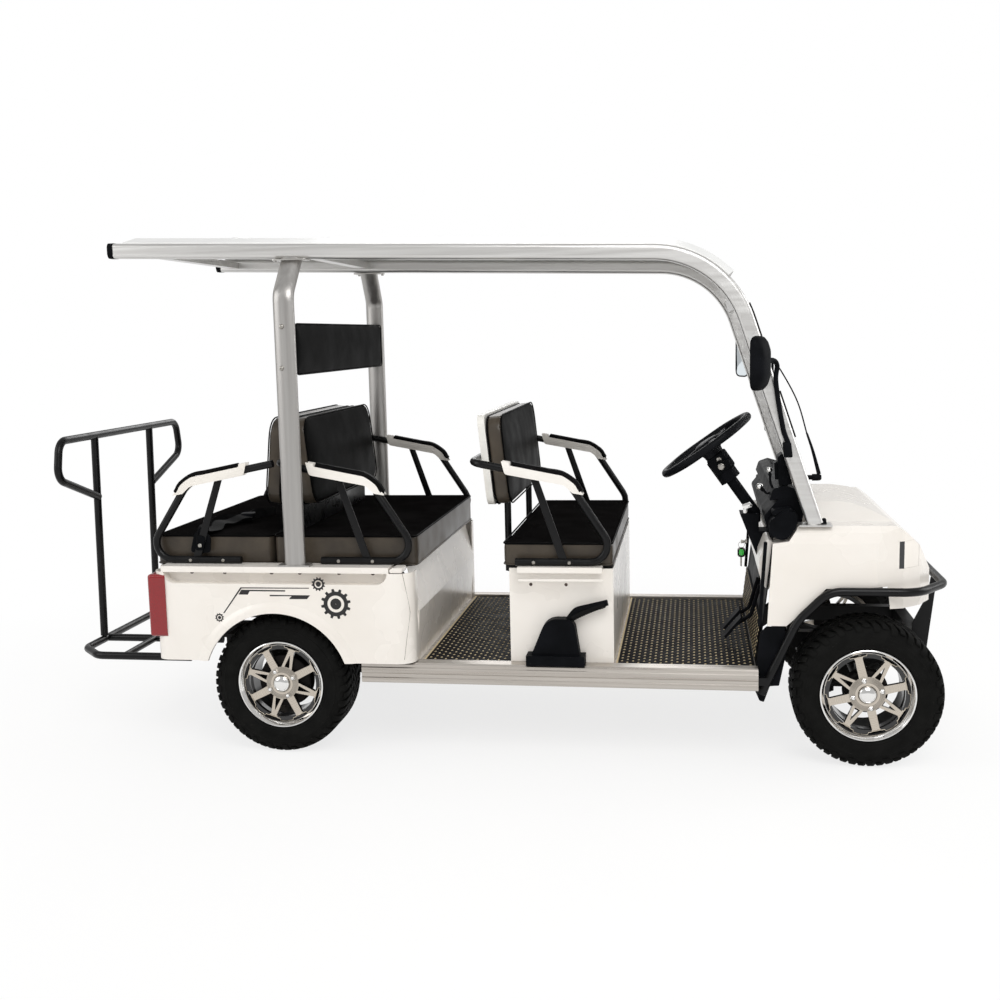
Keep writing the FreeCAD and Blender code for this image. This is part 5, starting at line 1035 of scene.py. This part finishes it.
# Key in its lock, with the ring, a second key and the fob.
keyLock = (1717, -300, 753)
x, y, z = keyLock
shape = bmesh.new()
addTurned(shape, [(0, 8), (6, 8), (9, 6), (10, 0)], keyLock, "x", 20, sign=-1)
bow = [(x - 22, z - 8), (x - 6, z - 3), (x - 6, z + 3), (x - 22, z + 8)]
addPrism(shape, roundOff(bow, 3), y - 1.2, y + 1.2, bevel=0.4)
addTube(shape, [(x - 20 + a, y, z - 12 + b) for a, b in circle(11, 18)], 0.9, steps=6, closed=True, smooth=False)
addPrism(shape, roundOff(rectangle(x - 34, x - 6, z - 22, z - 58), 10, 5), y - 5, y + 5, bevel=2.5, slot=1)
addPrism(shape, roundOff(rectangle(x - 29, x - 11, z - 27, z - 52), 7, 5), y - 6.5, y + 6.5, bevel=1.5, slot=2)
blade = [(x - 24, z - 56), (x - 17, z - 56), (x - 18, z - 92), (x - 21, z - 95), (x - 24, z - 90)]
addPrism(shape, roundOff(blade, 1.5), y - 1.1, y + 1.1, bevel=0.3)
buildPiece("keyAndFob", shape, ("screw", "plastic", "fob"))

print("steering")
steering = {"hub": (1568, -285, 1113), "tilt": math.radians(35.2), "ring": 181, "grip": 14.6, "fingers": 0.5}
tilt = steering["tilt"]
wheelUp = Vector((-math.sin(tilt), 0, math.cos(tilt)))
wheelAhead = Vector((math.cos(tilt), 0, math.sin(tilt)))
wheelMiddle = Vector(steering["hub"])


def onWheel(radius, angle, rise):
    sideways = Vector((0, radius * math.sin(angle), 0))
    return wheelMiddle + wheelAhead * (radius * math.cos(angle)) + sideways + wheelUp * rise


# Rounded boss with its pad, three trimmed spokes, and the foam grip.
shape = bmesh.new()
boss = [(0, 16), (22, 15.4), (40, 12.6), (50, 8), (53, 2), (52, -10), (46, -22), (38, -34), (36, -48),
        (0, -48)]
rings = []
for k in range(40):
    angle = math.tau * k / 40
    squarer = 1 + 0.10 * math.cos(3 * angle)
    rings.append([shape.verts.new(at(*onWheel(r * squarer, angle, h))) for r, h in boss])
for here, following in zip(rings, rings[1:] + rings[:1]):
    bridge(shape, here, following, closed=False)
bmesh.ops.remove_doubles(shape, verts=shape.verts[:], dist=1e-6)
rings = []
for k in range(144):
    angle = math.tau * k / 144
    swell = steering["grip"] + steering["fingers"] * math.cos(angle * 6)
    centre = onWheel(steering["ring"], angle, 0)
    outward = (centre - wheelMiddle).normalized()
    rings.append([shape.verts.new(at(*(centre + outward * a + wheelUp * b))) for a, b in circle(swell, 14)])
for here, following in zip(rings, rings[1:] + rings[:1]):
    bridge(shape, here, following)
for angle in (math.pi, math.pi / 3, -math.pi / 3):
    line = [onWheel(r, angle, h) for r, h in ((42, 4), (80, -1), (130, -3), (168, 0))]
    spoke = [(-17, -9), (17, -9), (19, -2), (13, 4), (-13, 4), (-19, -2)]
    addDrawn(shape, smoothLine(line, 12), spoke, wheelUp, taper=lambda t: 1 - 0.25 * t)
    line = smoothLine([p + wheelUp * 4.4 for p in line[1:3]], 12)
    addDrawn(shape, line, [(-8, -1), (8, -1), (7, 1), (-7, 1)], wheelUp, slot=1)
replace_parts(buildPiece("steeringGrip", shape, ("grip", "plastic"), "steering_wheel", 50), "steering_wheel")

# Switch block on the column, with its rocker, button and stalk.
shape = bmesh.new()
column = wheelMiddle - wheelUp * 84
block = roundOff([(-42, -34), (-42, 30), (-26, 46), (26, 46), (42, 30), (42, -34)], 8)
rows = []
for rise, size in ((-34, 0.925), (-30, 1), (30, 1), (34, 0.925)):
    middle = column + wheelUp * rise
    rows.append([shape.verts.new(at(*(middle + wheelAhead * (a * size) + Vector((0, b * size, 0)))))
                 for b, a in block])
for low, high in zip(rows, rows[1:]):
    bridge(shape, low, high)
shape.faces.new(rows[0])
shape.faces.new(rows[-1][::-1])
foot = column + Vector((0, -40, 0)) + wheelUp * 12
addTube(shape, [foot, foot + Vector((14, -36, 8)), foot + Vector((40, -66, 22))], 3.6, steps=10)
for along, across, wide, slot in ((16, 8, 9, 1), (-10, 0, 12, 1), (-26, -14, 5, 0)):
    place = column + Vector((0, -42, 0)) + wheelAhead * across + wheelUp * along
    addTurned(shape, [(0, 4), (wide * 0.8, 4), (wide, 2.4), (wide, -2)], tuple(place), "y", 18, slot, sign=-1)
buildPiece("columnSwitches", shape, ("plastic", "screw"), sharp=40)

print("windscreen")
screen = {"lean": math.radians(18.5), "foot": (1940, 912), "seal": 483}
leanX, leanZ = -math.sin(screen["lean"]), math.cos(screen["lean"])
offScreen = (leanZ, 0, -leanX)


# A point up the screen, at y and so far proud of its glass.
def onScreen(up, y, proud=0.0):
    return (screen["foot"][0] + leanX * up + leanZ * proud, y, screen["foot"][1] + leanZ * up - leanX * proud)


onRail = {side: skinOf("roof_rail_" + name) for name, side in sides.items()}
# Black seal along the lower edge and up both sides, and the rubber strip on the front edge of each pillar.
shape = bmesh.new()
sealSection = [(-5, -5), (5, -5), (6.5, 3), (3, 6), (-3, 6), (-6.5, 3)]
stripSection = [(-9, -6), (9, -6), (8, 5), (4, 9), (-4, 9), (-8, 5)]
for side in (-1, 1):
    line = [onScreen(up, screen["seal"] * side, 2) for up in (8, 200, 420, 640, 684)]
    addDrawn(shape, line, sealSection, offScreen)
    for low, high in ((1158, 1318), (1424, 1622)):
        line = [onRail[side]((2400, 520 * side, low + (high - low) * k / 6), (-1, 0, 0)) for k in range(7)]
        addDrawn(shape, [(x - 3, y, z) for x, y, z in line], stripSection, offScreen)
addDrawn(shape, [onScreen(6, y, 2) for y in (-484, 0, 484)], sealSection, offScreen)
buildPiece("screenSeal", shape, "seal", sharp=50)

# Knobs on the pillars, and a rubber stop on each shoulder of the cowl.
shape = bmesh.new()
onCowl = skinOf("cowl")
for side in (-1, 1):
    for x, z in ((1778, 1241), (1868, 962)):
        hit = onRail[side]((x, 700 * side, z), (0, -side, 0))
        if hit:
            addTurned(shape, [(0, 8), (4, 7.6), (7, 5.6), (7.6, 2), (7, -2)], hit, "y", 18, sign=side)
    hit = onCowl((1971, 520 * side, 1100), (0, 0, -1))
    if hit:
        addTurned(shape, [(0, 26), (5, 24.6), (7.6, 20), (8.2, 12), (10, 6), (10.6, -1)], hit, "z", 20)
buildPiece("pillarKnobs", shape, "plastic")

print("mirrors")
mirror = {"at": (1747, 646, 1419), "turn": math.radians(30), "half": (50, 92), "arm": 8.5,
          "stalk": [(1760, 622, 1412), (1784, 590, 1428), (1803, 569, 1410), (1800, 567, 1350),
                    (1824, 567, 1200), (1843, 567, 1142)]}
# The rings of the housing and the glass: depth behind the glass, share of the outline, radius of its corners.
housing = ((13, 0.93, 30), (17, 0.94, 31), (18, 0.985, 33), (14, 1.0, 34), (4, 0.97, 36), (-8, 0.86, 38),
           (-18, 0.66, 32), (-23, 0.36, 18))
glass = ((13.5, 0.935, 30), (15.6, 0.935, 30), (16.2, 0.91, 29))
socket = [(1829, 1094), (1858, 1094), (1852, 1146), (1823, 1146)]
shellShape, glassShape = bmesh.new(), bmesh.new()
wide, high = mirror["half"]
for side in (-1, 1):
    centre = Vector((mirror["at"][0], mirror["at"][1] * side, mirror["at"][2]))
    ahead = Vector((-math.cos(mirror["turn"]), -math.sin(mirror["turn"]) * side, 0))
    sideways = ahead.cross(Vector((0, 0, 1)))

    def addShell(shape, stations, backed):
        rings = []
        for depth, grow, radius in stations:
            outline = roundOff(rectangle(-wide * grow, wide * grow, -high * grow, high * grow), radius, 6)
            rings.append([shape.verts.new(at(*(centre + ahead * depth + sideways * u + Vector((0, 0, v)))))
                          for u, v in outline])
        for here, following in zip(rings, rings[1:]):
            bridge(shape, here, following)
        if backed:
            shape.faces.new(rings[0])
        shape.faces.new(rings[-1][::-1] if backed else rings[-1])

    addShell(shellShape, housing, True)
    addShell(glassShape, glass, False)
    stalk = [(x, y * side, z) for x, y, z in mirror["stalk"]]
    addTube(shellShape, stalk, mirror["arm"], 7, 12)
    addTurned(shellShape, [(0, 17), (9, 16), (14, 12), (15, 4), (13, -12)], stalk[0], "y", 22, sign=-side)
    addPrism(shellShape, roundOff(socket, 5), 560 * side, 578 * side, bevel=2)
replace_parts(buildPiece("mirrorHousings", shellShape, "plastic", sharp=40), "mirrors")
buildPiece("mirrorGlass", glassShape, "mirror")

print("wiper")
wiper = {"y": -130, "tip": (1816, -130, 1415)}
shape = bmesh.new()
arc = [wiper["tip"], (1847, -130, 1376), (1908, -130, 1260), (1947, -130, 1129)]
addDrawn(shape, smoothLine(arc, 12), [(-2.4, -2), (2.4, -2), (2.4, 3), (-2.4, 3)], (1, 0, 0.4))
addDrawn(shape, smoothLine([(1944, -130, 1140), (1966, -130, 1074), (1990, -130, 984)], 12),
         [(-6, -5), (6, -5), (5, 7), (-5, 7)], (1, 0, 0.3), taper=lambda t: 0.6 + 0.6 * t)
spindle = [(0, 15), (8, 14), (12, 9), (13, 0), (13, -20), (9, -20), (9, -66)]
addTurned(shape, spindle, (1986, wiper["y"], 972), "x", 20)
# Its blade lies on the glass, under the top of the arm.
blade = ((250, 10), (300, 12), (420, 14), (540, 12), (590, 10))
blade = [onScreen(up, wiper["y"], proud) for up, proud in blade]
addDrawn(shape, blade, [(-1.6, -8), (1.6, -8), (5, 2), (5, 5), (-5, 5), (-5, 2)], offScreen)
addTube(shape, [wiper["tip"], onScreen(440, wiper["y"], 16)], 5, smooth=False)
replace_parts(buildPiece("wiperArm", shape, "plastic", sharp=40), "wiper")

print("guards and inner panel")
# Mudguard behind each front wheel: a strip along the edge of the front wall, with its flap below.
guard = [(1753, 470), (1738, 342), (1736, 262), (1752, 224), (1768, 218), (1787, 279), (1820, 279),
         (1844, 397), (1838, 492), (1775, 494)]
strip = [(1744, 494), (1756, 494), (1776, 796), (1764, 796)]
inner = [(1798, 796), (1776, 796), (1754, 740), (1748, 684), (1760, 640), (1786, 610)]
shape = bmesh.new()
for side in (-1, 1):
    addPrism(shape, roundOff(guard, 5, 3), 553 * side, 559 * side, bevel=1.5)
    addPrism(shape, roundOff(strip, 4), 546 * side, 563 * side, bevel=2)
buildPiece("mudguards", shape, "plastic", sharp=40)
shape = bmesh.new()
addPrism(shape, roundOff(inner, 14, 5), -520, 520, bevel=4, segments=3)
buildPiece("innerPanel", shape, "body")

print("camera, floor and light")
view = {"eye": (1517.1, -4805.7, 1530.3), "yaw": 0.159489, "pitch": 0.135201, "roll": 0.022575, "lens": 43.444}
sineYaw, cosineYaw = math.sin(view["yaw"]), math.cos(view["yaw"])
sineRoll, cosineRoll = math.sin(view["roll"]), math.cos(view["roll"])
forward = Vector((-sineYaw, cosineYaw, 0)) * math.cos(view["pitch"]) - Vector((0, 0, math.sin(view["pitch"])))
level = Vector((cosineYaw, sineYaw, 0))
down = forward.cross(level)
lens = bpy.data.cameras.new("viewLens")
lens.sensor_width = 36
lens.lens = view["lens"]
lens.clip_end = 100
camera = bpy.data.objects.new("viewCamera", lens)
axes = (cosineRoll * level + sineRoll * down, sineRoll * level - cosineRoll * down, -forward)
camera.matrix_world = Matrix(axes).transposed().to_4x4()
camera.location = at(*view["eye"])
scene.collection.objects.link(camera)
scene.camera = camera

studio = {"sky": 0.56, "floor": "#f4f3f1", "glowNear": 0.78, "shadowFrom": 1.4, "shadowTo": 3.4, "floorHalf": 30}


def seenFrom(tree, *rays):
    light = addNode(tree, "LightPath").outputs
    seen = light["Is Camera Ray"]
    for ray in rays:
        seen = addNode(tree, "Math", {0: seen, 1: light[ray]}, operation="MAXIMUM").outputs["Value"]
    return seen


world = bpy.data.worlds.new("softBox")
scene.world = world
world.use_nodes = True
sky = world.node_tree
seen = seenFrom(sky, "Is Transmission Ray")
bright = addNode(sky, "MapRange", {"Value": seen, "To Min": studio["sky"], "To Max": 1.0})
sky.links.new(bright.outputs["Result"], sky.nodes["Background"].inputs["Strength"])
sky.nodes["Background"].inputs["Color"].default_value = (1, 1, 1, 1)

# The floor is white to the eye a few metres away, and keeps the cart's shadow near it.
floorFinish = bpy.data.materials.new("paleFloor")
floorFinish.use_nodes = True
tree = floorFinish.node_tree
tree.nodes.clear()
seen = seenFrom(tree, "Is Transmission Ray", "Is Glossy Ray")
place = addNode(tree, "NewGeometry").outputs["Position"]
away = addNode(tree, "VectorMath", {0: place}, operation="LENGTH").outputs["Value"]
white = addNode(tree, "MapRange", {"Value": away, "From Min": studio["shadowFrom"], "From Max": studio["shadowTo"],
                                   "To Min": studio["glowNear"], "To Max": 1.0}).outputs["Result"]
share = addNode(tree, "Math", {0: seen, 1: white}, operation="MULTIPLY").outputs["Value"]
matt = addNode(tree, "BsdfDiffuse", {"Color": linear(studio["floor"])}).outputs["BSDF"]
glow = addNode(tree, "Emission", {"Color": (1, 1, 1, 1), "Strength": 1.0}).outputs["Emission"]
blend = addNode(tree, "MixShader", {0: share, 1: matt, 2: glow}).outputs["Shader"]
addNode(tree, "OutputMaterial", {"Surface": blend})
half = studio["floorHalf"]
floorMesh = bpy.data.meshes.new("studioFloor")
floorMesh.from_pydata([(x, y, 0) for x, y in rectangle(-half, half, -half, half)], [], [(0, 1, 2, 3)])
floorMesh.materials.append(floorFinish)
studioFloor = bpy.data.objects.new("studioFloor", floorMesh)
scene.collection.objects.link(studioFloor)

lamps = {
    "keyLamp": {"at": (1.6, -4.2, 4.6), "aim": (0.1, 0, 0.8), "size": 3.2, "power": 150},
    "fillLamp": {"at": (-4.2, -2.6, 2.8), "aim": (0, 0, 0.8), "size": 3.0, "power": 60},
    "frontLamp": {"at": (4.8, 0.6, 2.6), "aim": (0.4, 0, 0.7), "size": 2.6, "power": 70},
    "backLamp": {"at": (-0.6, 4.6, 3.6), "aim": (0, 0, 0.8), "size": 3.0, "power": 80},
}
for name, lamp in lamps.items():
    light = bpy.data.lights.new(name, "AREA")
    light.size = lamp["size"]
    light.energy = lamp["power"]
    holder = bpy.data.objects.new(name, light)
    holder.location = lamp["at"]
    holder.rotation_euler = (Vector(lamp["aim"]) - Vector(lamp["at"])).to_track_quat("-Z", "Y").to_euler()
    scene.collection.objects.link(holder)
scene.view_settings.view_transform = "Standard"
